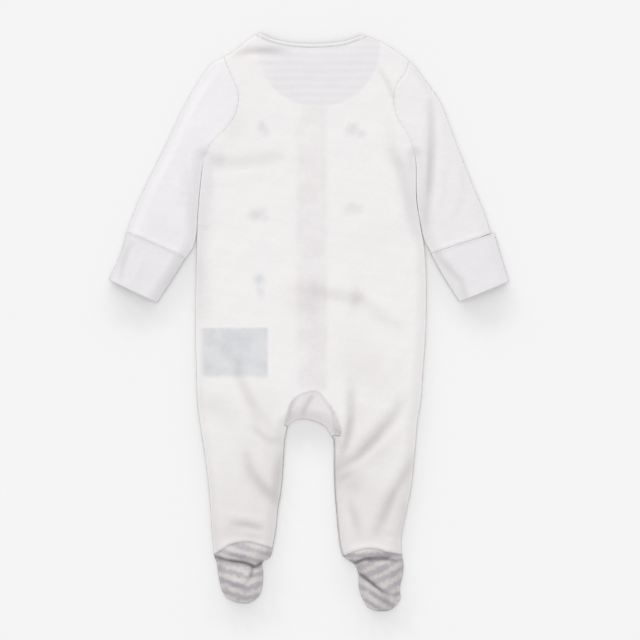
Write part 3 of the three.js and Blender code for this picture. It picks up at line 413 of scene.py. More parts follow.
def edge_of(points, runs):
    """Distance to the outline, and the direction from it into the cloth."""
    best = np.full(len(points), np.inf)
    inward = np.zeros((len(points), 2))
    for path in runs:
        distance, _, foot, aside = nearest(points, path)
        distance = np.abs(distance)
        closer = distance < best
        off = (points - foot) / np.maximum(distance, 1e-9)[:, None]
        direction = np.where((distance > ON_EDGE)[:, None], off, aside)
        best = np.where(closer, distance, best)
        inward[closer] = direction[closer]
    best[best <= ON_EDGE] = 0
    return best, inward


# Seams that press a groove into the cloth: path, depth, half-width, and the raised allowance
# beside it, which is on the left of the path where its distance is over 0
SEAM_WIDTH = 1.3
ALLOWANCE_WIDTH = 2.0
PUCKER_PITCH = 7.0
PUCKER_HEIGHT = 0.13
PUCKER_REACH = 5.0


def seam_path(curve, steps=40):
    return curve.at(np.linspace(0, 1, steps))


def sleeve_end(which):
    row = SLEEVES[which][-1]
    return np.array([row[:2], row[2:]], float)


SEAMS = [
    (seam_path(ARMHOLE["left"]), 0.15, -3.2, 0.2),
    (seam_path(ARMHOLE["right"]), 0.3, 3.2, 0.25),
    (seam_path(arch), 0.35, -2.4, 0.3),
    (seam_path(FOOT["left"]["ankle"]), 0.9, 2.6, 0.5),
    (seam_path(FOOT["right"]["ankle"]), 0.9, 2.6, 0.5),
    (sleeve_end("left"), 0.25, 2.4, 0.6),
    (sleeve_end("right")[::-1], 0.25, 2.4, 0.6),
]

# Low waves of the whole cloth: height, length of a wave, direction in degrees, start
WAVES = [
    (0.16, 61, 12, 0.4), (0.13, 43, 101, 2.1), (0.10, 29, 58, 4.0), (0.08, 23, 140, 1.2),
    (0.05, 13, 80, 5.3), (0.04, 11, 20, 3.3),
]


# Soft shade where the cloth dips or turns away from the light: strength, half-width, path
SHADES = [
    # Body
    (0.50, 8, [(-100, 163), (-91, 162), (-82, 160)]),
    (0.20, 9, [(-84, 157), (-66, 158), (-44, 162), (-22, 166)]),
    (0.18, 9, [(-70, 218), (-72, 197), (-80, 172)]),
    (0.38, 8, [(-101, 158), (-101, 130), (-105, 95), (-109, 50)]),
    (0.36, 9, [(-108, 64), (-106, 24), (-106, -6)]),
    (0.30, 7, [(78, 200), (86, 166), (98, 126), (103, 100), (107, 84)]),
    (0.20, 8, [(85, 160), (104, 158)]),
    (0.18, 9, [(-14, 32), (6, 30), (28, 28), (50, 26)]),
    (0.14, 8, [(50, 24), (72, 4), (95, -10)]),
    (0.24, 7, [(48, 42), (46, 26), (42, 6)]),
    (0.16, 12, [(-28, 24), (-8, 14), (10, 16)]),
    (0.34, 12, [(-110, -64), (-104, -80), (-86, -88), (-70, -98)]),
    (0.20, 12, [(-50, -66), (-40, -84), (-28, -90)]),
    (0.08, 34, [(56, 100), (78, 60)]),
    (0.14, 30, [(24, -20), (50, -32), (76, -38)]),
    (0.16, 9, [(4, 50), (3, 20), (4, -10)]),
    (0.20, 18, [(40, -30), (70, -58), (98, -62)]),
    (0.62, 4, [(-76, 266), (-61, 269.5), (-45, 270.5), (-20, 270)]),
    (0.30, 2.5, [(68, 256), (71, 250), (79, 238), (85, 222), (86, 214)]),
    # Left leg
    (0.32, 6, [(-72, -52), (-60, -76), (-51, -108), (-42, -119), (-22, -121)]),
    (0.30, 6, [(-66, -128), (-57, -153), (-44, -169), (-26, -186)]),
    (0.28, 6, [(-48, -164), (-38, -172), (-28, -180)]),
    (0.42, 3.5, [(-25, -126), (-29, -146), (-33, -170)]),
    (0.26, 8, [(-38, -108), (-37, -126), (-34, -148), (-32, -176)]),
    (0.20, 14, [(-62, -116), (-54, -140), (-44, -176), (-42, -196)]),
    (0.38, 3.5, [(-80, -204), (-62, -201.5), (-46, -207)]),
    (0.22, 10, [(-96, -208), (-66, -210), (-36, -214)]),
    # Right leg
    (0.50, 6, [(42, -56), (44, -88), (40, -117), (30, -142)]),
    (0.34, 3, [(41, -96), (37, -122), (27, -146)]),
    (0.45, 6, [(26, -98), (28, -112), (30, -128)]),
    (0.34, 7, [(98, -74), (86, -92), (66, -115), (46, -138), (26, -149)]),
    (0.40, 3.5, [(72, -112), (50, -134), (24, -149)]),
    (0.56, 13, [(22, -152), (36, -158), (54, -166)]),
    (0.24, 20, [(70, -84), (66, -108), (62, -140)]),
    (0.45, 5, [(107, -132), (98, -148), (86, -169), (76, -192), (64, -212)]),
    (0.36, 6, [(86, -172), (76, -193), (64, -214)]),
    (0.40, 5, [(42, -180), (47, -198), (51, -216)]),
    (0.24, 4, [(100, -178), (94, -196), (92, -214)]),
    # Gusset
    (0.45, 2.4, [(-14, -76), (-19, -88), (-22, -101)]),
    (0.45, 2.6, [(5, -71), (-1, -82), (-8, -96)]),
    (0.35, 1.6, [(22, -82), (25, -96), (27, -112)]),
    (0.50, 2.4, [(25, -107), (29, -110), (34, -113)]),
    # Sleeves and cuffs
    (0.26, 5.5, [(120, 236), (123, 200), (122, 165), (119, 130)]),
    (0.42, 6, [(121, 172), (118, 140), (116, 112), (120, 78)]),
    (0.12, 9, [(-122, 176), (-122, 150), (-120, 122), (-118, 96)]),
    (0.12, 12, [(-160, 112), (-146, 92), (-130, 78)]),
    (0.30, 3.5, [(127, 68), (135, 58), (143, 49), (152, 40), (158, 21)]),
    (0.24, 3.5, [(-176, 82), (-183, 66), (-187, 50), (-190, 38)]),
    (0.16, 3.0, [(-128, 60), (-140, 41), (-152, 24)]),
    # Left foot
    (0.62, 1.6, [(-99, -232), (-95, -234), (-81, -238), (-66, -240), (-54, -244), (-39, -237), (-33, -234)]),
    (0.45, 2.0, [(-56, -242), (-57, -249), (-58.5, -255), (-64.5, -261)]),
    (0.40, 2.5, [(-84, -257), (-74, -262), (-62, -263)]),
    (0.35, 2.0, [(-80, -231), (-70, -234), (-60, -234)]),
    # Right foot
    (0.62, 1.7, [(36, -244), (47, -240.5), (55, -236), (71, -234.5), (86, -238), (96, -236)]),
    (0.56, 1.6, [(42, -246), (48.7, -250), (60, -258), (72.8, -268.6), (81, -271), (90, -272)]),
    (0.35, 2.5, [(62, -229), (74, -230), (88, -233)]),
    (0.30, 3.0, [(58, -262), (66, -272), (76, -279)]),
    (0.24, 9, [(54, -247), (74, -250), (91, -246)]),
    (0.34, 4, [(68, -264), (76, -273), (80, -282)]),
]
FOLD_SHADE = 0.15
FOLD_END_SHARE = 0.15
SHADE_END_SHARE = 0.25
SEAM_SHADE = 0.22
PUCKER_DRIFT = 0.7
PUCKER_DRIFT_LENGTH = 9

# Painted shade along the outline. It grows down the legs, and each arm has its own beyond a distance from
# the middle. A painted highlight, a lighter line, lies on the edge itself.
EDGE_SHADE = 0.24
LEG_EDGE_SHADE = 0.32
LEG_SHADE_TOP = -20
LEG_SHADE_RISE = 70
ARM_X = 118
LEFT_ARM_EDGE_SHADE = 0.30
RIGHT_ARM_EDGE_SHADE = 0.08
EDGE_LIGHT = 0.85
LEFT_ARM_EDGE_LIGHT = 0.3
EDGE_SHADE_WIDTH = 6.0
EDGE_LIGHT_WIDTH = 1.8


def edge_shade(points, distance):
    """Painted shade along the outline, deeper on the legs and the left arm, fainter on the right arm, and a
    painted highlight on the edge.
    """
    x, y = points[:, 0], points[:, 1]
    left_arm, right_arm = (x < -ARM_X) & (y > 0), (x > ARM_X) & (y > 0)
    leg = np.clip((LEG_SHADE_TOP - y) / LEG_SHADE_RISE, 0, 1)
    strength = EDGE_SHADE + (LEG_EDGE_SHADE - EDGE_SHADE) * leg
    strength = np.where(left_arm, LEFT_ARM_EDGE_SHADE, strength)
    strength = np.where(right_arm, RIGHT_ARM_EDGE_SHADE, strength)
    light = np.where(left_arm, LEFT_ARM_EDGE_LIGHT, EDGE_LIGHT)
    return strength * (bell(distance, EDGE_SHADE_WIDTH) - light * bell(distance, EDGE_LIGHT_WIDTH))


def stroke(points, path):
    """Distance of plan points to a path, and how far along it they are, from 0 to 1."""
    path = np.asarray(path, float)
    away, along, _, _ = nearest(points, path)
    return away, along / np.linalg.norm(np.diff(path, axis=0), axis=1).sum()


def relief(points):
    """Height that folds, seams and waves add over plan points, and the depth of the painted shade."""
    height = np.zeros(len(points))
    for rise, width, path in FOLDS:
        away, share = stroke(points, path)
        taper = np.clip(4 * share * (1 - share), 0, 1) ** 0.5
        height += rise * (FOLD_END_SHARE + (1 - FOLD_END_SHARE) * taper) * bell(away, width)
    # Painted shade: darker in the troughs of the folds, along the shade strokes and in the seams' grooves
    hollow = FOLD_SHADE * np.clip(-height, 0, None)
    for strength, width, path in SHADES:
        away, share = stroke(points, path)
        taper = np.clip(np.sin(math.pi * share), 0, 1) ** 0.7
        hollow += strength * (SHADE_END_SHARE + (1 - SHADE_END_SHARE) * taper) * bell(away, width)
    for path, depth, allowance, rise in SEAMS:
        away, along, _, _ = nearest(points, path)
        groove = depth * bell(away, SEAM_WIDTH)
        height += rise * bell(away - allowance, ALLOWANCE_WIDTH) - groove
        hollow += SEAM_SHADE * groove
        drift = PUCKER_DRIFT * np.sin(along / PUCKER_DRIFT_LENGTH)
        pucker = np.sin(2 * math.pi * along / PUCKER_PITCH + drift)
        height += PUCKER_HEIGHT * pucker * bell(away, PUCKER_REACH)
    for rise, pitch, degrees, start in WAVES:
        turn = math.radians(degrees)
        across = points[:, 0] * math.cos(turn) + points[:, 1] * math.sin(turn)
        height += rise * np.sin(2 * math.pi * across / pitch + start)
    return height, hollow


def roll_of(distance, width):
    cosine = np.clip(1 - distance / width, 0, 1)
    return cosine, np.sqrt(1 - cosine**2)


def over_bands(points):
    """1 over the snap bands and 0 away from them."""
    aside = np.maximum(BAND_LEFT - points[:, 0], points[:, 0] - BAND_RIGHT)
    return np.clip(1 - aside / BAND_SLOPE, 0, 1)


def neck_drop(points):
    """The back sinks a little towards the neck edge."""
    away, _, _, _ = nearest(points, seam_path(back_neck, 60))
    return NECK_DROP * bell(away, NECK_DROP_WIDTH)


def soft_roll(points, distance, sine):
    """Rise from an edge that lies flat; round and full only at the shoulders."""
    slow = np.sin(0.5 * math.pi * np.clip(distance / SOFT_ROLL_WIDTH, 0, 1)) ** 2
    shoulder = np.clip((points[:, 1] - SHOULDER_ROLL_Y) / SHOULDER_ROLL_RISE, 0, 1)
    share = ROUND_SHARE + (1 - ROUND_SHARE) * shoulder
    return share * sine + (1 - share) * slow


def upper_skin(points, runs, rise=0.0):
    """Outer height, inset, inner height and painted shade of the side that is up."""
    distance, inward = edge_of(points, runs)
    cosine, sine = roll_of(distance, ROLL_WIDTH)
    height, hollow = relief(points)
    lowest = LOWEST_BACK + (LOWEST_OVER_BANDS - LOWEST_BACK) * over_bands(points)
    full = EDGE_HEIGHT + ROLL_HEIGHT + rise + height - neck_drop(points)
    full = np.where((full < lowest) & (rise >= 0), lowest - BELOW_LOWEST * (lowest - full), full)
    outer = EDGE_HEIGHT + (full - EDGE_HEIGHT) * soft_roll(points, distance, sine)
    inner = np.where(sine > 0, outer - CLOTH * sine, outer)
    return outer, inward * (CLOTH * cosine)[:, None], inner, hollow + edge_shade(points, distance)


def lower_skin(points, runs, lift=None):
    """The same of a tube's underside: flat on the surface, rolled up to the shared edge."""
    distance, inward = edge_of(points, runs)
    cosine, sine = roll_of(distance, UNDER_ROLL)
    raised = 0 if lift is None else lift(points) * sine
    outer = EDGE_HEIGHT * (1 - sine) + raised
    inner = EDGE_HEIGHT - (EDGE_HEIGHT - CLOTH) * sine + raised
    return outer, inward * (CLOTH * cosine)[:, None], inner, np.zeros(len(points))


def body_skin(points):
    return upper_skin(points, BODY_RUNS)


def flat_skin(outer_height, up=False):
    """Cloth that lies flat: its outer side is down, or up."""

    def skin(points):
        outer = outer_height(points) * np.ones(len(points))
        inner = outer - CLOTH if up else outer + CLOTH
        return outer, np.zeros((len(points), 2)), inner, np.zeros(len(points))

    return skin


def pocket_lift(points):
    left, right, top, bottom = POCKET
    x, y = points[:, 0], points[:, 1]
    outside = np.max([left - x, x - right, bottom - y, y - top], axis=0)
    return POCKET_LIFT * np.clip(1 - (outside - POCKET_MARGIN) / POCKET_SLOPE, 0, 1)


def band_lift(lift, points, distance):
    raised = np.clip(1 - distance / BAND_SLOPE, 0, 1)
    return lift * raised * (1 - np.clip(1 - (points[:, 1] - BAND_END_Y) / BAND_SLOPE, 0, 1))


def left_lift(points):
    band = band_lift(OVER_LIFT, points, BAND_LEFT - points[:, 0])
    return np.maximum(pocket_lift(points), band)


def right_lift(points):
    return band_lift(UNDER_LIFT, points, points[:, 0] - BAND_RIGHT)


LIFT = {"left": left_lift, "right": right_lift}


def finer(stops, length, step):
    """Fractions between the given ones, no further apart than a step on an edge of that length."""
    result = [stops[0]]
    for a, b in zip(stops, stops[1:]):
        count = max(1, math.ceil((b - a) * length / step))
        result.extend(a + (b - a) * (i + 1) / count for i in range(count))
    return np.array(result)


BESIDE_SEAM = (0.7, 1.5, 2.5)
BESIDE_ARMHOLE = (0.003, 0.0065, 0.011)


def near_seams(length, step, start=True, end=True):
    """Fractions of a width, with some more beside its sewn edges."""
    close = [d / length for d in BESIDE_SEAM]
    stops = [0, *(close if start else []), *([1 - d for d in close[::-1]] if end else []), 1]
    return finer(stops, length, step)


def straight(a, b, t):
    t = np.asarray(t, float)[:, None]
    return np.asarray(a) * (1 - t) + np.asarray(b) * t


def patch(top, bottom, left, right, across, down, power=1):
    """Plan of a piece between four rows of points: straight lines across that bend to both ends."""
    u, v = across[None, :, None], down[:, None, None]
    grid = left[:, None] * (1 - u) + right[:, None] * u

    def bend(edge):
        return edge[None] - (edge[0] * (1 - u) + edge[-1] * u)

    grid = grid + (1 - v) ** power * bend(top) + v**power * bend(bottom)
    grid[0], grid[-1] = top, bottom
    return grid


def panel(top, bottom, across, down):
    """Plan of a piece with straight side edges."""
    edges = [straight(top[k], bottom[k], down) for k in (0, -1)]
    return patch(top, bottom, *edges, across, down)


def from_start(u):
    return (u - u[0]) / (u[-1] - u[0])


class Shell:
    """A wall of cloth from sheets of quadrilaterals, closed along every free edge."""

    def __init__(self):
        self.outer, self.inner, self.quads, self.hollow, self.stripe = [], [], [], [], []
        self.count = 0

    def sheet(self, plan, skin, face_down=False, seams=(), stripe=None):
        rows, columns = plan.shape[:2]
        points = plan.reshape(-1, 2)
        outer_z, inset, inner_z, hollow = skin(points)
        inset = inset.reshape(rows, columns, 2)
        for edge, line in (("top", 0), ("bottom", -1)):
            if edge in seams:
                inset[line] = self.along(plan[line], inset[line])
        for edge, line in (("left", 0), ("right", -1)):
            if edge in seams:
                inset[:, line] = self.along(plan[:, line], inset[:, line])
        inset = inset.reshape(-1, 2)
        self.outer.append(np.column_stack([points, outer_z]))
        self.inner.append(np.column_stack([points + inset, inner_z]))
        self.hollow.append(hollow)
        self.stripe.append(np.zeros(len(points)) if stripe is None else stripe(points))
        n = np.arange(rows * columns).reshape(rows, columns) + self.count
        quads = np.stack([n[:-1, :-1], n[1:, :-1], n[1:, 1:], n[:-1, 1:]], -1).reshape(-1, 4)
        self.quads.append(quads[:, ::-1] if face_down else quads)
        self.count += rows * columns
        return self

    @staticmethod
    def along(line, inset):
        """Keeps only the part of an inset that runs along a sewn edge."""
        ahead = np.gradient(line, axis=0)
        ahead /= np.maximum(np.linalg.norm(ahead, axis=1, keepdims=True), 1e-9)
        return ahead * (inset * ahead).sum(1, keepdims=True)

    def build(self, name):
        outer, inner = np.concatenate(self.outer), np.concatenate(self.inner)
        keys = np.round(outer * 100).astype(np.int64)
        _, first, number = np.unique(keys, axis=0, return_index=True, return_inverse=True)
        quads = number.reshape(-1)[np.concatenate(self.quads)]
        _, alike, count = np.unique(
            np.sort(quads, axis=1), axis=0, return_inverse=True, return_counts=True
        )
        quads = quads[count[alike.reshape(-1)] == 1]
        inside = len(first)
        start, stop = quads.reshape(-1), np.roll(quads, -1, axis=1).reshape(-1)
        free = ~np.isin(stop * inside + start, start * inside + stop)
        start, stop = start[free], stop[free]
        rim = np.stack([stop, start, start + inside, stop + inside], -1)
        faces = np.concatenate([quads, quads[:, ::-1] + inside, rim])
        points = np.concatenate([outer[first], inner[first]]) * MM
        piece = make_mesh(name, points, faces)
        # The painted shade of folds, seams and edges goes on each point, and so does the stripes' count
        for label, values in (("hollow", self.hollow), ("stripe", self.stripe)):
            values = np.concatenate(values)[first]
            attribute = piece.data.attributes.new(label, "FLOAT", "POINT")
            attribute.data.foreach_set("value", np.tile(values, 2).astype(np.float32))
        return piece


def make_mesh(name, points, faces):
    mesh = bpy.data.meshes.new(name)
    faces = [tuple(dict.fromkeys(map(int, face))) for face in faces]
    mesh.from_pydata(points.tolist(), [], [face for face in faces if len(face) > 2])
    if mesh.validate():
        raise RuntimeError(f"{name} has faces that are not sound")
    mesh.shade_smooth()
    piece = bpy.data.objects.new(name, mesh)
    bpy.context.collection.objects.link(piece)
    return piece


# Edges of the pieces, half a seam away from the pieces beside them
SHARES = [
    arch.share_at_x(BAND_LEFT if k == 2 else BAND_RIGHT) if share is None else share
    for k, share in enumerate(ARCH_SHARES)
]
BAND_ON_NECK = (front_neck.share_at_x(BAND_LEFT), front_neck.share_at_x(BAND_RIGHT))
HIP = {which: SIDE[which].between(UNDERARM_Y, top, 1.0) for which, top in LEG_TOP.items()}
OUTWARD = {"left": -1, "right": 1}


def body_armhole(which, t):
    return ARMHOLE[which].beside(t, OUTWARD[which] * HALF_GAP)


def arch_share(u):
    return np.interp(u, ARCH_COLUMNS, SHARES)


def body_arch(u):
    return arch.beside(arch_share(u), -HALF_GAP)


def underarm_line(u):
    return straight(body_armhole("left", 1.0), body_armhole("right", 1.0), u)


def hip_line(u):
    left = straight(HIP["left"], body_arch(HIP_LEFT), u / HIP_LEFT)
    right = straight(body_arch(HIP_RIGHT), HIP["right"], (u - HIP_RIGHT) / (1 - HIP_RIGHT))
    line = np.where((u < HIP_LEFT)[:, None], left, body_arch(u))
    return np.where((u > HIP_RIGHT)[:, None], right, line)


def below_binding(curve, t):
    return curve.beside(np.clip(t, 0, 1), BINDING_WIDTH + BINDING_GAP)


def shoulder_line(u, neckline):
    """Top edge of the body: shoulders from tip to neck, and the neckline between them."""
    left = SHOULDER["left"].beside(1 + (SHOULDER_CORNER - 1) * np.clip(u / NECK_LEFT, 0, 1))
    past = np.clip((1 - u) / (1 - NECK_RIGHT), 0, 1)
    right = SHOULDER["right"].beside(1 + (SHOULDER_CORNER - 1) * past)
    line = np.where((u <= NECK_LEFT)[:, None], left, neckline)
    line = np.where((u >= NECK_RIGHT)[:, None], right, line)
    line[u == 0] = body_armhole("left", 0.0)
    line[u == 1] = body_armhole("right", 0.0)
    return line


def back_top(u):
    share = (u - NECK_LEFT) / (NECK_RIGHT - NECK_LEFT)
    return shoulder_line(u, below_binding(back_neck, share))


def front_top(u):
    left = BAND_ON_NECK[0] * (u - NECK_LEFT) / (BAND_COLUMNS[0] - NECK_LEFT)
    right = (u - BAND_COLUMNS[1]) / (NECK_RIGHT - BAND_COLUMNS[1])
    right = BAND_ON_NECK[1] + (1 - BAND_ON_NECK[1]) * right
    share = np.where(u <= BAND_COLUMNS[0], left, right)
    return shoulder_line(u, below_binding(front_neck, share))


TORSO_WIDTH = 215.0
ARMHOLE_LENGTH = 108.0
TORSO_LENGTH = 268.0
LEG_LENGTH = 125.0
BAND_LENGTH = 325
GUSSET_SPACING = 280
GUSSET_LENGTH = 28
FACING_SIZE = (130, 60)
SLEEVE_SIZE = (100, 150)
CUFF_SIZE = (65, 52)
FOOT_SIZE = (62, 58)


def in_order(which, outer, inner):
    return (outer, inner) if which == "left" else (inner, outer)


def leg_columns(which, u):
    """Points along the top of a leg, from the side seam to the crotch, in the order of x."""
    if which == "left":
        hip = hip_line(u[u <= HIP_LEFT])
        points = np.vstack([hip, straight(hip[-1], CROTCH[0], [0.5, 1])])
    else:
        hip = hip_line(u[u >= HIP_RIGHT])
        points = np.vstack([straight(CROTCH[-1], hip[0], [0, 0.5]), hip])
    reach = reach_along(points)
    return points, reach / reach[-1]


def add_leg(shell, which, u, down, skin, face_down=False):
    top, stops = leg_columns(which, u)
    outer = SIDE[which].between(LEG_TOP[which], SIDES[-1][0], down)
    edges = in_order(which, outer, INNER_LEG[which].at(down))
    seam = FOOT[which]["ankle"].beside(stops, -HALF_GAP)
    plan = patch(top, seam, *edges, stops, down)
    shell.sheet(plan, skin, face_down, seams=["bottom"])


def back_shell(step):
    far_side = [1 - d for d in BESIDE_ARMHOLE[::-1]]
    stops = [0, *BESIDE_ARMHOLE, NECK_LEFT, HIP_LEFT, HIP_RIGHT, NECK_RIGHT, *far_side, 1]
    u = finer(stops, TORSO_WIDTH, step)
    arm = near_seams(ARMHOLE_LENGTH, step, end=False)
    torso = finer([0, 1], TORSO_LENGTH, step)
    sides = [SIDE[which].between(UNDERARM_Y, LEG_TOP[which], torso) for which in BOTH]
    armholes = [body_armhole(which, arm) for which in BOTH]
    shell = Shell()
    shell.sheet(patch(back_top(u), underarm_line(u), *armholes, u, arm), body_skin, seams=BOTH)
    shell.sheet(patch(underarm_line(u), hip_line(u), *sides, u, torso), body_skin)
    down = near_seams(LEG_LENGTH, step, start=False)
    for which in BOTH:
        add_leg(shell, which, u, down, body_skin)
    return shell


def front_shell(which, step):
    if which == "left":
        stops = [0, NECK_LEFT, HIP_LEFT, BAND_COLUMNS[0]]
        band_x, last = BAND_LEFT - HALF_GAP, -1
    else:
        stops = [BAND_COLUMNS[1], HIP_RIGHT, NECK_RIGHT, 1]
        band_x, last = BAND_RIGHT + HALF_GAP, 0
    u = finer(stops, TORSO_WIDTH, step)
    across = from_start(u)
    skin = flat_skin(LIFT[which])

    def at_band(line):
        line[last, 0] = band_x
        return line

    top, bottom = at_band(front_top(u)), at_band(hip_line(u))
    corner = body_armhole(which, 1.0)
    middle = straight(*in_order(which, corner, [band_x, corner[1]]), across)
    arm = finer([0, 1], ARMHOLE_LENGTH, step)
    torso = finer([0, 1], TORSO_LENGTH, step)
    shell = Shell()
    edges = in_order(which, body_armhole(which, arm), straight(top[last], middle[last], arm))
    shell.sheet(patch(top, middle, *edges, across, arm), skin, face_down=True)
    side = SIDE[which].between(UNDERARM_Y, LEG_TOP[which], torso)
    side[0] = corner
    edges = in_order(which, side, straight(middle[last], bottom[last], torso))
    shell.sheet(patch(middle, bottom, *edges, across, torso), skin, face_down=True)
    add_leg(shell, which, u, finer([0, 1], LEG_LENGTH, step), skin, face_down=True)
    return shell


def band_shell(lift, step):
    u = finer(BAND_COLUMNS, TORSO_WIDTH, step)
    across = from_start(u)
    limits = (BAND_LEFT + HALF_GAP, BAND_RIGHT - HALF_GAP)

    def within(line):
        line[:, 0] = np.clip(line[:, 0], *limits)
        return line

    shares = BAND_ON_NECK[0] + (BAND_ON_NECK[1] - BAND_ON_NECK[0]) * across
    top, bottom = within(below_binding(front_neck, shares)), within(body_arch(u))
    plan = panel(top, bottom, across, finer([0, 1], BAND_LENGTH, step))
    return Shell().sheet(plan, flat_skin(lambda p: lift), face_down=True)


def gusset_plan(step):
    u = finer(ARCH_COLUMNS, GUSSET_SPACING, step)
    across = from_start(u)
    top = arch.beside(np.clip(arch_share(u), GUSSET_CLEAR, 1 - GUSSET_CLEAR), HALF_GAP)
    bottom = crotch.at(CROTCH_CLEAR + (1 - 2 * CROTCH_CLEAR) * across)
    return panel(top, bottom, across, near_seams(GUSSET_LENGTH, step, end=False))


CUFF_RISE = 0.25
BINDING_STEP = 0.6
BINDING_RISE = 0.05
BINDING_BULGE = 0.14
BINDING_DROP = 1.0


def binding_rise(points, curve_path):
    """The binding is a little rounded across its width, and sinks towards its free edge."""
    away, _, _, _ = nearest(points, curve_path)
    share = np.clip(np.abs(away) / BINDING_WIDTH, 0, 1)
    drop = BINDING_DROP * (1 - share) ** 2
    return BINDING_RISE + BINDING_BULGE * np.sin(math.pi * share) - drop


def binding_top(points):
    return upper_skin(points, BODY_RUNS, binding_rise(points, seam_path(back_neck, 120)))


def binding_plan(curve, shares, step):
    across = finer([0, 1], BINDING_WIDTH, step)
    plan = np.stack([curve.beside(shares, share * BINDING_WIDTH) for share in across])
    for which, line, share in (("left", 0, 0.0), ("right", -1, 1.0)):
        if shares[line] == share:
            plan[:, line] = SHOULDER[which].at(across * BINDING_END)
    return plan


def binding_shell(step):
    shares = finer([0, 1], back_neck.length, step)
    left = finer([0, BAND_ON_NECK[0], BAND_ON_NECK[1] - BINDING_CLEAR], front_neck.length, step)
    right = finer([BAND_ON_NECK[0] + BINDING_CLEAR, BAND_ON_NECK[1], 1], front_neck.length, step)
    shell = Shell().sheet(binding_plan(back_neck, shares, BINDING_STEP), binding_top)
    for part, lift in ((left, left_lift), (right, right_lift)):

        def skin(points, lift=lift):
            return lower_skin(points, BODY_RUNS, lift)

        shell.sheet(binding_plan(front_neck, part, BINDING_STEP), skin, face_down=True)
    return shell


def facing_shell(step):
    across, down = (finer([0, 1], size, step) for size in FACING_SIZE)
    ends = FACING_ENDS
    top = below_binding(back_neck, ends[0] + (ends[1] - ends[0]) * across)
    plan = panel(top, Curve(FACING).at(across), across, down)
    return Shell().sheet(plan, flat_skin(lambda p: FACING_HEIGHT + CLOTH, up=True))


def tube_shell(plan, runs, rise=0.0, seams=("top", "bottom")):
    shell = Shell().sheet(plan, lambda p: upper_skin(p, runs, rise), seams=seams)
    return shell.sheet(plan, lambda p: lower_skin(p, runs), face_down=True, seams=seams)


def row_ends(which, row, shift):
    outer, inner = np.array([row[:2], row[2:]], float) + [0, shift]
    return in_order(which, outer, inner)


def sleeve_plan(which, step):
    across = finer([0, 1], SLEEVE_SIZE[0], step)
    down = near_seams(SLEEVE_SIZE[1], step)
    t = across if which == "left" else 1 - across
    seam = ARMHOLE[which].beside(t, -OUTWARD[which] * HALF_GAP)
    end = straight(*row_ends(which, SLEEVES[which][-1], HALF_GAP), across)
    edges = in_order(which, OVERARM[which].at(down), UNDERARM[which].at(down))
    return patch(seam, end, *edges, across, down, ARMHOLE_BEND)


def cuff_plan(which, step):
    across = finer([0, 1], CUFF_SIZE[0], step)
    down = near_seams(CUFF_SIZE[1], step, end=False)
    top = straight(*row_ends(which, CUFFS[which][0], -HALF_GAP), across)
    bottom = straight(*row_ends(which, CUFFS[which][-1], 0), across)
    edges = in_order(which, CUFF_OVER[which].at(down), CUFF_UNDER[which].at(down))
    return patch(top, bottom, *edges, across, down)


def foot_plan(which, step):
    foot = FOOT[which]
    across = finer([0, 1], FOOT_SIZE[0], step)
    down = near_seams(FOOT_SIZE[1], step, end=False)
    seam = foot["ankle"].beside(across, HALF_GAP)
    edges = foot["left"].at(down), foot["right"].at(down)
    return patch(seam, foot["toe"].at(across), *edges, across, down)


# Stripes of the soles. The numbers are starts, slopes and pitches of the stripes in the photo, and
# where the fold between heel and sole runs.
STRIPE_PITCH = 10.8


def left_stripes(points):
    x, y = points[:, 0], -points[:, 1]
    heel = (y - 0.3 * (x + 62) - 225.5) / 10.3
    sole = (y + 0.3 * np.abs(x + 61) - 255) / STRIPE_PITCH
    fold = 241.5 + 4 * np.clip((x + 93) / 36, 0, 1)
    return np.where(y < fold, heel, sole)


def right_stripes(points):
    x, y = points[:, 0], -points[:, 1]
    heel = (y - 232.5) / 10.5
    upper = (y + 0.5 * (x - 75) - 244.5) / 11.4
    lower = (y - 0.6 * (x - 62) - 270.3) / 11.0
    diagonal = 251 + 0.74 * (x - 51)
    sole = np.where(y < diagonal, upper, lower)
    return np.where(y < 237.5, heel, sole)


STRIPES = {"left": left_stripes, "right": right_stripes}


def sole_shell(which, step):
    return Shell().sheet(foot_plan(which, step), body_skin, seams=["top"], stripe=STRIPES[which])


# Thread: each stitch is a short rounded length of it
STITCH_PITCH = 2.7
STITCH_LENGTH = 2.0
STITCH_LIFT = 0.05
NECK_STITCH_ROWS = (0.5, 1.5)
THREAD_RADIUS = 0.19
RING_SIDES = 6
STITCH_RINGS = ((-0.5, 0.35, 0.0), (-0.3, 0.9, 0.07), (0, 1, 0.12), (0.3, 0.9, 0.07), (0.5, 0.35, 0))


def stitches(name, rows):
    """One mesh of stitches along some rows of points, each with its side: 1 is up, -1 is down."""
    points, faces = [], []
    for row, up in rows:
        reach = reach_along(row)
        for middle in np.arange(STITCH_PITCH, reach[-1] - STITCH_PITCH / 2, STITCH_PITCH):
            ends = [
                [np.interp(middle + d, reach, row[:, k]) for k in range(3)]
                for d in (-STITCH_LENGTH / 2, STITCH_LENGTH / 2)
            ]
            centre = np.mean(ends, axis=0)
            ahead = np.subtract(ends[1], ends[0])
            aside = np.cross(ahead, (0, 0, 1))
            aside /= np.linalg.norm(aside)
            first = len(points)
            for share, size, lift in STITCH_RINGS:
                for k in range(RING_SIDES):
                    turn = 2 * math.pi * k / RING_SIDES
                    out = aside * math.cos(turn) + np.array([0, 0, 1]) * math.sin(turn)
                    ring = centre + ahead * share + out * THREAD_RADIUS * size
                    points.append(ring + np.array([0, 0, lift * up]))
            last = first + (len(STITCH_RINGS) - 1) * RING_SIDES
            for ring in range(first, last, RING_SIDES):
                for k in range(RING_SIDES):
                    n = (k + 1) % RING_SIDES
                    faces.append((ring + k, ring + n, ring + RING_SIDES + n, ring + RING_SIDES + k))
            faces.append(tuple(first + k for k in reversed(range(RING_SIDES))))
            faces.append(tuple(last + k for k in range(RING_SIDES)))
    return make_mesh(name, np.array(points) * MM, faces)


def on_skin(points, skin):
    """Points of the outer side over plan points."""
    return np.column_stack([points, skin(points)[0]])


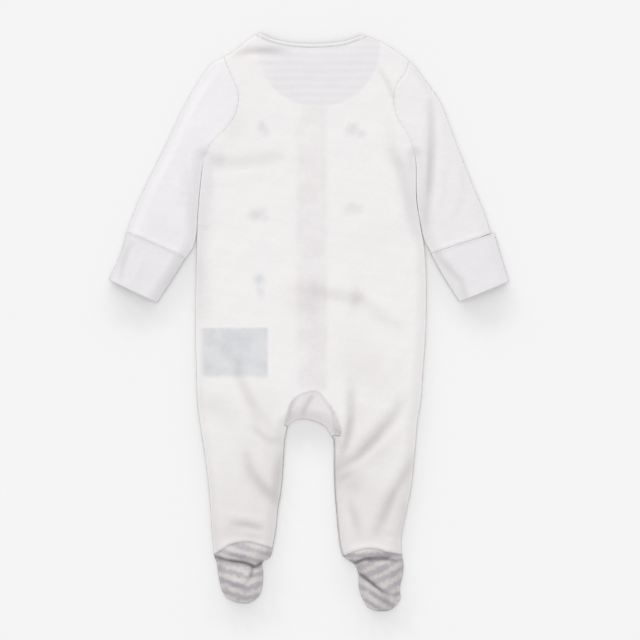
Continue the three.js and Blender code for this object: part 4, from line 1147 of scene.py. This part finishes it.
def stitch_rows(inset):
    """Rows of stitches by name: along the neck, round the gusset and over the cuffs' hems."""
    t = np.linspace(0.03, 0.97, 160)
    neck = [
        (on_skin(back_neck.beside(t, BINDING_WIDTH - off), binding_top) + [0, 0, STITCH_LIFT], 1)
        for off in NECK_STITCH_ROWS
    ]
    gusset = [(on_skin(arch.beside(t, side * inset), body_skin), 1) for side in (1, -1)]
    hems = []
    for which in BOTH:
        runs, ends = CUFF_RUNS[which], row_ends(which, CUFFS[which][0], -HALF_GAP)
        down = np.subtract(*np.array([row_ends(which, CUFFS[which][k], 0)[0] for k in (1, 0)]))
        line = straight(*ends, t) + down / np.linalg.norm(down) * inset
        hems.append((on_skin(line, lambda p, runs=runs: upper_skin(p, runs, CUFF_RISE)), 1))
    return {"stitches_neck": neck, "stitches_gusset": gusset, "stitches_cuffs": hems}


STUD_SIDES = 48


def stud(name, centre, radius, height):
    """A dished cap with its face down, turned round its own axis."""
    profile = [
        (0.33, 0.24), (0.37, 0.18), (0.44, 0.05), (0.48, 0.0), (0.83, 0.0), (0.90, 0.06),
        (0.96, 0.20), (1.0, 0.42), (1.0, 0.9), (0.98, 1.0),
    ]
    points, faces = [(*centre, 0.25 * height), (*centre, height)], []
    for k in range(STUD_SIDES):
        turn = 2 * math.pi * k / STUD_SIDES
        for share, rise in profile:
            out = radius * share
            points.append(
                (centre[0] + out * math.cos(turn), centre[1] + out * math.sin(turn), rise * height)
            )
    size = len(profile)
    for k in range(STUD_SIDES):
        a, b = 2 + k * size, 2 + (k + 1) % STUD_SIDES * size
        faces.append((0, b, a))
        faces.extend((a + j, b + j, b + j + 1, a + j + 1) for j in range(size - 1))
        faces.append((1, a + size - 1, b + size - 1))
    return make_mesh(name, np.array(points) * MM, faces)


class Term:
    """A shader socket that takes part in sums: an expression on values adds its Math nodes."""

    def __init__(self, board, socket):
        self.board = board
        self.socket = socket

    def __add__(self, other):
        return self.board.math("ADD", self, other)

    def __sub__(self, other):
        return self.board.math("SUBTRACT", self, other)

    def __rsub__(self, other):
        return self.board.math("SUBTRACT", other, self)

    def __mul__(self, other):
        return self.board.math("MULTIPLY", self, other)

    def __truediv__(self, other):
        return self.board.math("DIVIDE", self, other)

    def __pow__(self, other):
        return self.board.math("POWER", self, other)

    __radd__ = __add__
    __rmul__ = __mul__


class Board:
    """The nodes of one material."""

    def __init__(self, name):
        self.material = bpy.data.materials.new(name)
        self.material.use_nodes = True
        self.tree = self.material.node_tree
        self.tree.nodes.clear()

    def node(self, kind, settings=None, inputs=None):
        node = self.tree.nodes.new(kind)
        for key, value in (settings or {}).items():
            setattr(node, key, value)
        for key, value in (inputs or {}).items():
            if isinstance(value, Term):
                self.tree.links.new(value.socket, node.inputs[key])
            else:
                node.inputs[key].default_value = value
        return node

    def term(self, node, output=0):
        return Term(self, node.outputs[output])

    def math(self, operation, *values):
        inputs = dict(enumerate(values))
        return self.term(self.node("ShaderNodeMath", {"operation": operation}, inputs))

    def step(self, value, low, high):
        """0 below low, 1 above high and a smooth rise between; falls where low is over high."""
        if low > high:
            return 1 - self.step(value, high, low)
        settings = {"interpolation_type": "SMOOTHSTEP"}
        return self.term(
            self.node("ShaderNodeMapRange", settings, {0: value, "From Min": low, "From Max": high})
        )

    def within(self, *edges):
        """1 inside soft edges: each has a value, where it starts to rise and where it is full."""
        shares = [self.step(value, *ends) for value, ends in edges]
        return math.prod(shares[1:], start=shares[0])

    @staticmethod
    def from_spot(x, y, spot_x, spot_y, half_width, half_height):
        """Distance from the middle of an oval, which is 1 on its edge."""
        off_x, off_y = (x - spot_x) / half_width, (y - spot_y) / half_height
        return (off_x * off_x + off_y * off_y) ** 0.5

    def mix(self, share, a, b, blend="MIX"):
        settings = {"data_type": "RGBA", "blend_type": blend}
        return self.term(self.node("ShaderNodeMix", settings, {0: share, 6: a, 7: b}), 2)

    def noise(self, scale, detail=2.0, place=None):
        inputs = {"Scale": scale, "Detail": detail}
        if place is not None:
            inputs["Vector"] = place
        return self.term(self.node("ShaderNodeTexNoise", None, inputs), "Fac")

    def attribute(self, name):
        return self.term(self.node("ShaderNodeAttribute", {"attribute_name": name}), "Fac")

    def place(self):
        """The point on the object: the vector itself in metres, and x and y in millimetres."""
        vector = self.term(self.node("ShaderNodeTexCoord"), "Object")
        apart = self.node("ShaderNodeSeparateXYZ", None, {0: vector})
        return vector, self.term(apart, "X") * (1 / MM), self.term(apart, "Y") * (1 / MM)

    def bump(self, height, distance, strength=1.0, normal=None):
        inputs = {"Height": height, "Distance": distance, "Strength": strength}
        if normal is not None:
            inputs["Normal"] = normal
        return self.term(self.node("ShaderNodeBump", None, inputs), "Normal")

    def finish(self, constants, **varying):
        """The surface: constants sit on the shader's own sockets, and what varies is linked."""
        inputs = {**constants, **{key.replace("_", " "): value for key, value in varying.items()}}
        shader = self.node("ShaderNodeBsdfPrincipled", None, inputs)
        self.node("ShaderNodeOutputMaterial", None, {"Surface": self.term(shader)})
        return self.material


def linear(colour):
    """An sRGB colour, each part from 0 to 1, as linear light with full alpha."""
    parts = [c / 12.92 if c <= 0.04045 else ((c + 0.055) / 1.055) ** 2.4 for c in colour]
    return (*parts, 1.0)


def tone(colour, factor):
    """A linear colour made darker or tinted."""
    factor = factor if hasattr(factor, "__len__") else (factor,) * 3
    return (*(c * f for c, f in zip(colour, factor)), 1.0)


CLOTH_FINISH = {"Roughness": 0.92, "Sheen Weight": 0.12, "Sheen Roughness": 0.5, "Specular IOR Level": 0.25}
WALE = 1.25
COURSE = 0.95
KNIT_DEPTH = 0.00012
FUZZ_DEPTH = 0.00035


def knit_normal(board, vector, x, y, angle=0.0, depth=KNIT_DEPTH):
    """Columns of V-shaped loops, with a soft unevenness of the cloth over them."""
    turn = math.radians(angle)
    across = x * math.cos(turn) + y * math.sin(turn)
    along = y * math.cos(turn) - x * math.sin(turn)
    side = board.math("PINGPONG", across, WALE / 2)
    loops = board.math("SINE", (along + side * 1.1) * (2 * math.pi / COURSE))
    height = side * (1.2 / WALE) + loops * 0.25
    fuzz = board.noise(260, 3.0, vector)
    soft = board.bump(fuzz, FUZZ_DEPTH)
    return board.bump(height, depth, 1.0, soft)


# Tones of the shade, as factors. It is cooler beside the arms, from the hips up.
WARM_SHADE = (0.762, 0.742, 0.742, 1)
COOL_SHADE = (0.745, 0.738, 0.762, 1)
SOLE_SHADE = (0.33, 0.30, 0.32, 1)
COOL_ASIDE = (66, 92)
COOL_ABOVE = (-30, 40)
COOL_RIGHT_END = (113, 106)

# Washed cotton: scales of its clouds and its grain, and the tones between which it changes
WASH_SCALES = (22, 420)
WASH_TONES = ((0.988, 0.984, 0.990), (1.006, 1.006, 0.998))


def washed(board, vector, colour):
    """Slow changes of tone in washed cotton."""
    cloud, fine = (board.noise(scale, 2.0, vector) for scale in WASH_SCALES)
    uneven = board.step(cloud * 0.7 + fine * 0.3, 0.3, 0.7)
    return board.mix(uneven, *(tone(colour, factors) for factors in WASH_TONES))


def shaded(board, base, deepest):
    """Painted shade that gathers in folds and seams and along the edges, over the cloth's own colours."""
    shade = board.math("MINIMUM", board.math("MAXIMUM", board.attribute("hollow"), 0.0), 1.0)
    return board.mix(shade, base, deepest, "MULTIPLY")


def jersey(name, colour, paint=None, angle=0.0):
    board = Board(name)
    vector, x, y = board.place()
    base = washed(board, vector, colour)
    if paint is not None:
        base = paint(board, base, x, y, vector)
    aside = board.math("ABSOLUTE", x)
    cool = board.within((aside, COOL_ASIDE), (y, COOL_ABOVE), (x, COOL_RIGHT_END))
    base = shaded(board, base, board.mix(cool, WARM_SHADE, COOL_SHADE))
    normal = knit_normal(board, vector, x, y, angle)
    return board.finish(CLOTH_FINISH, Base_Color=base, Normal=normal)


# Direction of the knit in the sleeves, from the body's
SLEEVE_TURN = {"left": -26.0, "right": 26.0}

# What shows through the back: soft spots of the print on the front. x, y, half-width, half-height,
# linear factors of the cloth's colour
SHOWN_PRINT = [
    (-47, 196, 6, 8, (0.86, 0.88, 0.90)),
    (-43, 189, 4, 5, (0.90, 0.92, 0.94)),
    (43, 192, 7, 8, (0.86, 0.875, 0.90)),
    (52, 187, 6, 4, (0.90, 0.89, 0.92)),
    (-51, 107, 11, 7, (0.88, 0.865, 0.89)),
    (44, 113, 10, 7, (0.91, 0.90, 0.905)),
    (-50, 42, 6, 6, (0.81, 0.84, 0.89)),
    (-48, 31, 4.5, 7, (0.84, 0.87, 0.91)),
    (49, 25, 8, 9, (0.92, 0.90, 0.905)),
    (4, 182, 4.5, 5, (0.95, 0.95, 0.95)),
    (6, 141, 5, 5, (0.96, 0.93, 0.92)),
    (3, 104, 5, 5, (0.95, 0.95, 0.95)),
    (-1, 58, 5, 5, (0.95, 0.95, 0.96)),
    (1, 30, 5, 6, (0.92, 0.93, 0.94)),
    (-1, -3, 5, 5, (0.95, 0.95, 0.96)),
]
HALF_MOON = (9, 277, 62)
HALF_MOON_EDGE = 2.2
HALF_MOON_STRIPES = 7.8
MOON_LEFT = (-66, -26)

# Soft edges of the band and the pocket as they show: where each starts and where it is full
SEEN_BAND = {"left": (-18, -7), "right": (21.5, 14.5), "bottom": (-76, -62)}
BAND_FADE = (190, 120)
SEEN_POCKET = {"left": (-111, -103), "right": (-39.5, -43), "top": (-4, -8), "bottom": (-58, -51)}

# Factors of the back's colour for what shows
MOON_TONE = (0.918, 0.918, 0.94)
MOON_STRIPE_TONE = (0.875, 0.875, 0.905)
BAND_TONE = (0.925, 0.906, 0.922)
POCKET_TONE = (0.75, 0.782, 0.812)
SPOT_WANDER = 1.5


def seen_through(colour):
    """Paints the back with what lies under it."""

    def paint(board, base, x, y, vector):
        centre_x, centre_y, radius = HALF_MOON
        away = ((x - centre_x) ** 2 + (y - centre_y) ** 2) ** 0.5
        rim = (radius + HALF_MOON_EDGE, radius - HALF_MOON_EDGE)
        moon = board.within((away, rim), (x, MOON_LEFT))
        wobble = board.noise(30, 1.0, vector) * 2.4
        wave = board.math("SINE", (y + wobble) * (2 * math.pi / HALF_MOON_STRIPES))
        stripes = board.step(wave, -0.9, 0.9)
        base = board.mix(moon * 0.8, base, tone(colour, MOON_TONE))
        base = board.mix(moon * stripes * 0.48, base, tone(colour, MOON_STRIPE_TONE))
        sides = {"left": x, "right": x, "top": y, "bottom": y}
        band = board.within(*((sides[side], ends) for side, ends in SEEN_BAND.items())) * (1 - moon)
        streak = board.step(board.noise(38, 2.0, vector), 0.3, 0.7) * 0.7 + 0.45
        streak = streak * (board.step(y, *BAND_FADE) * 0.4 + 0.6)
        base = board.mix(band * streak, base, tone(colour, BAND_TONE))
        pocket = board.within(*((sides[side], ends) for side, ends in SEEN_POCKET.items()))
        mottle = board.step(board.noise(60, 3.0, vector), 0.3, 0.7) * 0.4 + 0.6
        base = board.mix(pocket * mottle, base, tone(colour, POCKET_TONE))
        wander = (board.noise(110, 3.0, vector) - 0.5) * SPOT_WANDER
        for spot_x, spot_y, half_width, half_height, tint in SHOWN_PRINT:
            far = board.from_spot(x, y, spot_x, spot_y, half_width, half_height) + wander
            base = board.mix(board.step(far, 1.5, 0.0), base, tone(colour, tint))
        return base

    return paint


# Print of the front: small balloons in soft colours. x, y, half-width, half-height, colour
FRONT_PRINT = [
    (-48, 194, 4, 6, (0.55, 0.66, 0.80)), (43, 191, 5, 6.5, (0.50, 0.60, 0.76)),
    (-51, 107, 5, 6, (0.68, 0.60, 0.74)), (44, 114, 5, 6, (0.68, 0.62, 0.72)),
    (-50, 37, 5, 6, (0.55, 0.66, 0.78)), (49, 25, 5, 6, (0.70, 0.62, 0.55)),
    (-80, 150, 4, 5, (0.68, 0.60, 0.74)), (78, 66, 4, 5, (0.55, 0.66, 0.80)),
    (72, -40, 5, 6, (0.68, 0.62, 0.72)), (-60, -130, 4, 5, (0.70, 0.62, 0.55)),
    (62, -150, 4, 5, (0.55, 0.66, 0.80)),
]


def balloons(board, base, x, y, vector):
    for spot_x, spot_y, half_width, half_height, colour in FRONT_PRINT:
        far = board.from_spot(x, y, spot_x, spot_y, half_width, half_height)
        base = board.mix(board.step(far, 1.04, 0.96), base, linear(colour))
    return base


def striped(name, light, dark, wave_of):
    """Fleecy jersey with stripes across: wave_of gives a wave that is over 0 on the dark ones."""
    board = Board(name)
    vector, x, y = board.place()
    heather = board.noise(240, 3.0, vector)
    blotch = board.noise(85, 2.0, vector)
    wave = wave_of(board, x, y) + (heather - 0.5) * 3.4 + (blotch - 0.5) * 3.4
    stripe = board.step(wave, -0.9, 1.1)
    pale, deep = (washed(board, vector, cloth) for cloth in (light, dark))
    base = shaded(board, board.mix(stripe, pale, deep), SOLE_SHADE)
    normal = knit_normal(board, vector, x, y, depth=2.2 * KNIT_DEPTH)
    return board.finish(CLOTH_FINISH, Base_Color=base, Normal=normal)


def sole_wave(board, x, y):
    return board.math("COSINE", board.attribute("stripe") * (2 * math.pi))


def facing_wave(board, x, y):
    return board.math("SINE", y * (2 * math.pi / HALF_MOON_STRIPES))


def pocket_cloth(name, colour):
    board = Board(name)
    vector, x, y = board.place()
    dots = board.math("SINE", (x + y) * 0.9) * board.math("SINE", (x - y) * 0.9)
    base = board.mix(board.step(dots, 0.55, 0.75), washed(board, vector, colour), tone(colour, 1.35))
    return board.finish(CLOTH_FINISH, Base_Color=base, Normal=knit_normal(board, vector, x, y))


def moulded(name, colour):
    board = Board(name)
    vector, _, _ = board.place()
    grain = board.noise(900, 2.0, vector)
    base = board.mix(grain, tone(colour, 0.97), tone(colour, 1.02))
    rough = board.step(grain, 0.2, 0.8) * 0.12 + 0.3
    normal = board.bump(grain, 0.00002)
    return board.finish({"Specular IOR Level": 0.5}, Base_Color=base, Roughness=rough, Normal=normal)


def thread_material(name, colour):
    board = Board(name)
    _, x, y = board.place()
    twist = board.math("SINE", (x + y) * 14.0)
    base = board.mix(board.step(twist, -1, 1), tone(colour, 0.95), colour)
    normal = board.bump(twist, 0.00004)
    return board.finish({"Roughness": 0.7, "Sheen Weight": 0.1}, Base_Color=base, Normal=normal)


def floor_material(name, colour):
    board = Board(name)
    vector, _, _ = board.place()
    grain = board.noise(40, 2.0, vector)
    base = board.mix(grain, tone(colour, 0.999), tone(colour, 1.001))
    return board.finish({"Roughness": 0.95, "Specular IOR Level": 0.0}, Base_Color=base)


def millimetres(name, description, default, low=0.0, high=1000.0):
    return bpy.props.FloatProperty(
        name=name,
        description=description,
        default=default * MM,
        min=low * MM,
        max=high * MM,
        unit="LENGTH",
        precision=5,
    )


def colour(name, description, default):
    return bpy.props.FloatVectorProperty(
        name=name,
        description=description,
        default=default,
        subtype="COLOR",
        size=3,
        min=0.0,
        max=1.0,
    )


def strength(name, description, default):
    return bpy.props.FloatProperty(name=name, description=description, default=default, min=0.0)


def angle(name, description, degrees):
    return bpy.props.FloatProperty(
        name=name, description=description, default=math.radians(degrees), subtype="ANGLE"
    )


class SleepsuitSizes(bpy.types.PropertyGroup):
    back_step: millimetres("Back grid", "Distance between the points of the back", 1.7, 1, 20)
    front_step: millimetres("Front grid", "Distance between the points of the fronts", 4, 2, 20)
    tube_step: millimetres("Tube grid", "Distance between the points of sleeves and feet", 1.4, 1, 20)
    stud_radius: millimetres("Stud radius", "Radius of a press stud", STUD_RADIUS, 3, 6)
    stud_height: millimetres("Stud height", "Height of a press stud", STUD_HEIGHT, 0.4, 0.9)
    stitch_inset: millimetres("Stitch inset", "Distance of the seams' stitches from an edge", 1.6, 0.5, 5)


class SleepsuitColours(bpy.types.PropertyGroup):
    back: colour("Back", "Jersey of the back", (0.780, 0.764, 0.762))
    legs: colour("Legs", "Tint of the legs, which the light reaches less", (0.90, 0.885, 0.888))
    # The sleeves are of the back's jersey: the right sleeve's darker colour is painted shade
    sleeve_left: colour("Left sleeve", "Jersey of the left sleeve", (0.775, 0.762, 0.778))
    sleeve_right: colour("Right sleeve", "Jersey of the right sleeve", (0.760, 0.745, 0.75))
    cuffs: colour("Cuffs", "Cloth of the cuffs", (0.725, 0.71, 0.725))
    gusset: colour("Gusset", "Cloth of the gusset", (0.70, 0.675, 0.685))
    binding: colour("Neck binding", "Cloth of the binding round the neck", (0.71, 0.70, 0.70))
    stripe_light: colour("Light stripe", "Light stripes of the soles", (0.64, 0.62, 0.61))
    stripe_dark: colour("Dark stripe", "Dark stripes of the soles", (0.475, 0.45, 0.48))
    facing_light: colour("Light facing", "Light stripes of the half-moon", (0.62, 0.62, 0.625))
    facing_dark: colour("Dark facing", "Dark stripes of the half-moon", (0.40, 0.40, 0.43))
    pocket: colour("Pocket", "Cloth of the pocket", (0.30, 0.36, 0.47))
    thread: colour("Thread", "Sewing thread", (0.70, 0.695, 0.69))
    studs: colour("Studs", "Moulded studs", (0.78, 0.78, 0.77))
    floor: colour("Floor", "Surface under the sleepsuit", (0.768, 0.768, 0.768))


class SleepsuitStage(bpy.types.PropertyGroup):
    camera_height: millimetres("Camera height", "Height of the camera over the floor", 2500, 500, 9000)
    view_width: millimetres("View width", "Width of floor that the picture shows", 640, 100, 5000)
    sky: strength("Sky", "Strength of the soft light from all round", 1.0)
    sun: strength("Sun", "Strength of the light on the cloth", 1.0)
    low_sun: strength("Low sun", "Strength of the low lights on the floor", 4.0)
    low_sun_height: angle("Low sun height", "Angle of the low lights over the floor", 8.5)
    sun_height: angle("Sun height", "Angle of the sun over the floor", 29)
    sun_turn: angle("Sun turn", "Angle from the neck's direction to the sun's, to the left", 20)
    sun_size: angle("Sun size", "Width of the sun in the sky", 24)


class SleepsuitProperties(bpy.types.PropertyGroup):
    sizes: bpy.props.PointerProperty(type=SleepsuitSizes)
    colours: bpy.props.PointerProperty(type=SleepsuitColours)
    stage: bpy.props.PointerProperty(type=SleepsuitStage)


def settings():
    return bpy.context.scene.sleepsuit


def ink(name):
    """One of the chosen colours, with full alpha."""
    return (*getattr(settings().colours, name), 1)


def lay(piece, material, node=None):
    """Gives a piece its material, hangs it on the body and hides the node's own part."""
    piece.data.materials.append(material)
    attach(piece, BODY)
    if node is not None:
        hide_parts(node)


def lay_cloth(shell, name, material):
    piece = shell.build(name + "_cloth")
    lay(piece, material, name)
    return piece


# Low lights that cast the long soft shadow on the floor: share, and turn to the left in degrees
LOW_SUNS = ((0.12, -40), (0.18, -19), (0.24, 1), (0.25, 21), (0.21, 41))
LOW_SUN_SIZE = math.radians(6.5)
FLOOR_HALF = 3.0
CORNERS = ((-1, -1), (1, -1), (1, 1), (-1, 1))
FLOOR_TOP = -0.0004
SENSOR_WIDTH = 36.0
PICTURE_CENTRE = (0.011, 0.002)


class SLEEPSUIT_OT_stage(bpy.types.Operator):
    """Makes the floor, the light and the camera straight above"""

    bl_idname = "sleepsuit.stage"
    bl_label = "Stage"

    def execute(self, context):
        stage = settings().stage
        corners = [(x * FLOOR_HALF, y * FLOOR_HALF, FLOOR_TOP) for x, y in CORNERS]
        floor = make_mesh("floor", np.array(corners), [(0, 1, 2, 3)])
        floor.data.materials.append(floor_material("pale_floor", ink("floor")))

        world = bpy.data.worlds.new("soft_sky")
        world.use_nodes = True
        background = world.node_tree.nodes["Background"]
        background.inputs["Color"].default_value = (1, 1, 1, 1)
        background.inputs["Strength"].default_value = stage.sky
        context.scene.world = world
        context.scene.view_settings.view_transform = "Standard"

        only_floor = bpy.data.collections.new("lit_floor")
        only_floor.objects.link(floor)
        but_floor = bpy.data.collections.new("lit_cloth")
        but_floor.objects.link(floor)
        but_floor.collection_objects[0].light_linking.link_state = "EXCLUDE"
        lights = [(stage.sun, stage.sun_height, stage.sun_turn, stage.sun_size, but_floor)]
        for share, turn in LOW_SUNS:
            low = (share * stage.low_sun, stage.low_sun_height, math.radians(turn))
            lights.append((*low, LOW_SUN_SIZE, only_floor))
        for number, (energy, height, turn, size, lit) in enumerate(lights):
            light = bpy.data.lights.new(f"window_{number}", "SUN")
            light.energy = energy
            light.angle = size
            sun = bpy.data.objects.new(f"window_{number}", light)
            sun.rotation_euler = (-(math.pi / 2 - height), 0, turn)
            sun.light_linking.receiver_collection = lit
            context.collection.objects.link(sun)

        camera = bpy.data.objects.new("camera", bpy.data.cameras.new("camera"))
        camera.data.sensor_width = SENSOR_WIDTH
        camera.data.lens = SENSOR_WIDTH * stage.camera_height / stage.view_width
        camera.location = (*PICTURE_CENTRE, stage.camera_height)
        context.collection.objects.link(camera)
        context.scene.camera = camera
        return {"FINISHED"}


class SLEEPSUIT_OT_back(bpy.types.Operator):
    """Makes the back with both legs, as one piece of jersey"""

    bl_idname = "sleepsuit.back"
    bl_label = "Back"

    def execute(self, context):
        back, legs = ink("back"), tuple(settings().colours.legs)

        # Painted shade: the legs are painted darker with their tint, growing from the hips down to the
        # ankles
        def paint(board, base, x, y, vector):
            low = board.step(y, -60, -215)
            return board.mix(low, seen_through(back)(board, base, x, y, vector), tone(back, legs))

        material = jersey("white_jersey_back", back, paint)
        lay_cloth(back_shell(settings().sizes.back_step / MM), "back_panel", material)
        return {"FINISHED"}


class SLEEPSUIT_OT_fronts(bpy.types.Operator):
    """Makes the two fronts, which lie under the back"""

    bl_idname = "sleepsuit.fronts"
    bl_label = "Fronts"

    def execute(self, context):
        material = jersey("printed_jersey_front", ink("back"), balloons)
        for which in BOTH:
            shell = front_shell(which, settings().sizes.front_step / MM)
            lay_cloth(shell, f"front_{which}", material)
        return {"FINISHED"}


class SLEEPSUIT_OT_bands(bpy.types.Operator):
    """Makes the two bands that carry the press studs"""

    bl_idname = "sleepsuit.bands"
    bl_label = "Snap bands"

    def execute(self, context):
        material = jersey("white_jersey_bands", ink("back"))
        for name, lift in (("placket_over", OVER_LIFT), ("placket_under", UNDER_LIFT)):
            shell = band_shell(lift, settings().sizes.front_step / MM)
            lay_cloth(shell, name, material)
        return {"FINISHED"}


class SLEEPSUIT_OT_studs(bpy.types.Operator):
    """Makes the eight press studs"""

    bl_idname = "sleepsuit.studs"
    bl_label = "Press studs"

    def execute(self, context):
        sizes = settings().sizes
        radius, height = sizes.stud_radius / MM, sizes.stud_height / MM
        material = moulded("white_moulded_stud", ink("studs"))
        for number in range(STUD_COUNT):
            centre = ((BAND_LEFT + BAND_RIGHT) / 2, FIRST_STUD_Y - number * STUD_PITCH)
            piece = stud(f"snap_{number + 1}_stud", centre, radius, height)
            lay(piece, material, f"snap_{number + 1}")
        return {"FINISHED"}


class SLEEPSUIT_OT_gusset(bpy.types.Operator):
    """Makes the crotch gusset, folded from back to front"""

    bl_idname = "sleepsuit.gusset"
    bl_label = "Gusset"

    def execute(self, context):
        material = jersey("white_jersey_gusset", ink("gusset"))
        plan = gusset_plan(settings().sizes.tube_step / MM)
        shell = tube_shell(plan, BODY_RUNS, seams=("top", "left", "right"))
        lay_cloth(shell, "gusset", material)
        return {"FINISHED"}


class SLEEPSUIT_OT_neck(bpy.types.Operator):
    """Makes the binding round the neck and the half-moon inside the back"""

    bl_idname = "sleepsuit.neck"
    bl_label = "Neck"

    def execute(self, context):
        sizes = settings().sizes
        material = jersey("white_jersey_binding", ink("binding"), angle=90)
        lay_cloth(binding_shell(sizes.tube_step / MM), "neck_binding", material)
        light, dark = ink("facing_light"), ink("facing_dark")
        material = striped("striped_facing", light, dark, facing_wave)
        lay_cloth(facing_shell(sizes.front_step / MM), "neck_facing", material)
        return {"FINISHED"}


class SLEEPSUIT_OT_sleeves(bpy.types.Operator):
    """Makes the two sleeves"""

    bl_idname = "sleepsuit.sleeves"
    bl_label = "Sleeves"

    def execute(self, context):
        for which in BOTH:
            cloth = ink(f"sleeve_{which}")

            # Painted shade: each sleeve is painted a little darker from its top down towards the cuff
            def paint(board, base, x, y, vector, cloth=cloth):
                return board.mix(board.step(y, 230, 80), base, tone(cloth, 0.975))

            material = jersey(f"white_jersey_sleeve_{which}", cloth, paint, SLEEVE_TURN[which])
            plan = sleeve_plan(which, settings().sizes.tube_step / MM)
            lay_cloth(tube_shell(plan, ARM_RUNS[which]), f"sleeve_{which}", material)
        return {"FINISHED"}


class SLEEPSUIT_OT_cuffs(bpy.types.Operator):
    """Makes the two turned-back cuffs"""

    bl_idname = "sleepsuit.cuffs"
    bl_label = "Cuffs"

    def execute(self, context):
        for which in BOTH:
            material = jersey(f"white_cuff_{which}", ink("cuffs"), angle=SLEEVE_TURN[which])
            plan = cuff_plan(which, settings().sizes.tube_step / MM)
            shell = tube_shell(plan, CUFF_RUNS[which], CUFF_RISE)
            lay_cloth(shell, f"cuff_{which}", material)
        return {"FINISHED"}


class SLEEPSUIT_OT_feet(bpy.types.Operator):
    """Makes the striped soles and the tops of the feet"""

    bl_idname = "sleepsuit.feet"
    bl_label = "Feet"

    def execute(self, context):
        sizes = settings().sizes
        light, dark = ink("stripe_light"), ink("stripe_dark")
        material = striped("striped_sole", light, dark, sole_wave)
        for which in BOTH:
            shell = sole_shell(which, sizes.tube_step / MM)
            lay_cloth(shell, f"sole_{which}", material)
        material = jersey("white_jersey_feet", ink("back"))
        for which in BOTH:
            plan = foot_plan(which, sizes.front_step / MM)
            shell = Shell().sheet(plan, flat_skin(lambda p: 0.0), face_down=True, seams=["top"])
            lay_cloth(shell, f"foot_upper_{which}", material)
        return {"FINISHED"}


class SLEEPSUIT_OT_pocket(bpy.types.Operator):
    """Makes the patch pocket on the left front"""

    bl_idname = "sleepsuit.pocket"
    bl_label = "Pocket"

    def execute(self, context):
        step = settings().sizes.front_step / MM
        left, right, top, bottom = POCKET
        across, down = finer([0, 1], right - left, step), finer([0, 1], top - bottom, step)
        rows = [straight((left, y), (right, y), across) for y in (top, bottom)]
        shell = Shell().sheet(panel(*rows, across, down), flat_skin(lambda p: 0.0), face_down=True)
        material = pocket_cloth("blue_grey_pocket", ink("pocket"))
        lay_cloth(shell, "pocket", material)
        return {"FINISHED"}


class SLEEPSUIT_OT_stitches(bpy.types.Operator):
    """Makes the stitches along the neck, the gusset and the cuffs"""

    bl_idname = "sleepsuit.stitches"
    bl_label = "Stitches"

    def execute(self, context):
        material = thread_material("white_thread", ink("thread"))
        for name, rows in stitch_rows(settings().sizes.stitch_inset / MM).items():
            lay(stitches(name, rows), material)
        return {"FINISHED"}


PIECES = (
    SLEEPSUIT_OT_stage,
    SLEEPSUIT_OT_studs,
    SLEEPSUIT_OT_pocket,
    SLEEPSUIT_OT_bands,
    SLEEPSUIT_OT_fronts,
    SLEEPSUIT_OT_feet,
    SLEEPSUIT_OT_neck,
    SLEEPSUIT_OT_back,
    SLEEPSUIT_OT_gusset,
    SLEEPSUIT_OT_sleeves,
    SLEEPSUIT_OT_cuffs,
    SLEEPSUIT_OT_stitches,
)


class SLEEPSUIT_PT_panel(bpy.types.Panel):
    bl_idname = "SLEEPSUIT_PT_panel"
    bl_label = "Footed baby sleepsuit"
    bl_space_type = "VIEW_3D"
    bl_region_type = "UI"
    bl_category = "Sleepsuit"

    def draw(self, context):
        for group in (settings().sizes, settings().colours, settings().stage):
            box = self.layout.box()
            for name in group.__annotations__:
                box.prop(group, name)
        for piece in PIECES:
            self.layout.operator(piece.bl_idname)


CLASSES = (
    SleepsuitSizes,
    SleepsuitColours,
    SleepsuitStage,
    SleepsuitProperties,
    *PIECES,
    SLEEPSUIT_PT_panel,
)


def register():
    for each in CLASSES:
        bpy.utils.register_class(each)
    bpy.types.Scene.sleepsuit = bpy.props.PointerProperty(type=SleepsuitProperties)


def unregister():
    del bpy.types.Scene.sleepsuit
    for each in reversed(CLASSES):
        bpy.utils.unregister_class(each)


def main():
    register()
    for piece in PIECES:
        group, name = piece.bl_idname.split(".")
        getattr(getattr(bpy.ops, group), name)()
    bpy.context.view_layer.update()


if __name__ == "__main__":
    main()
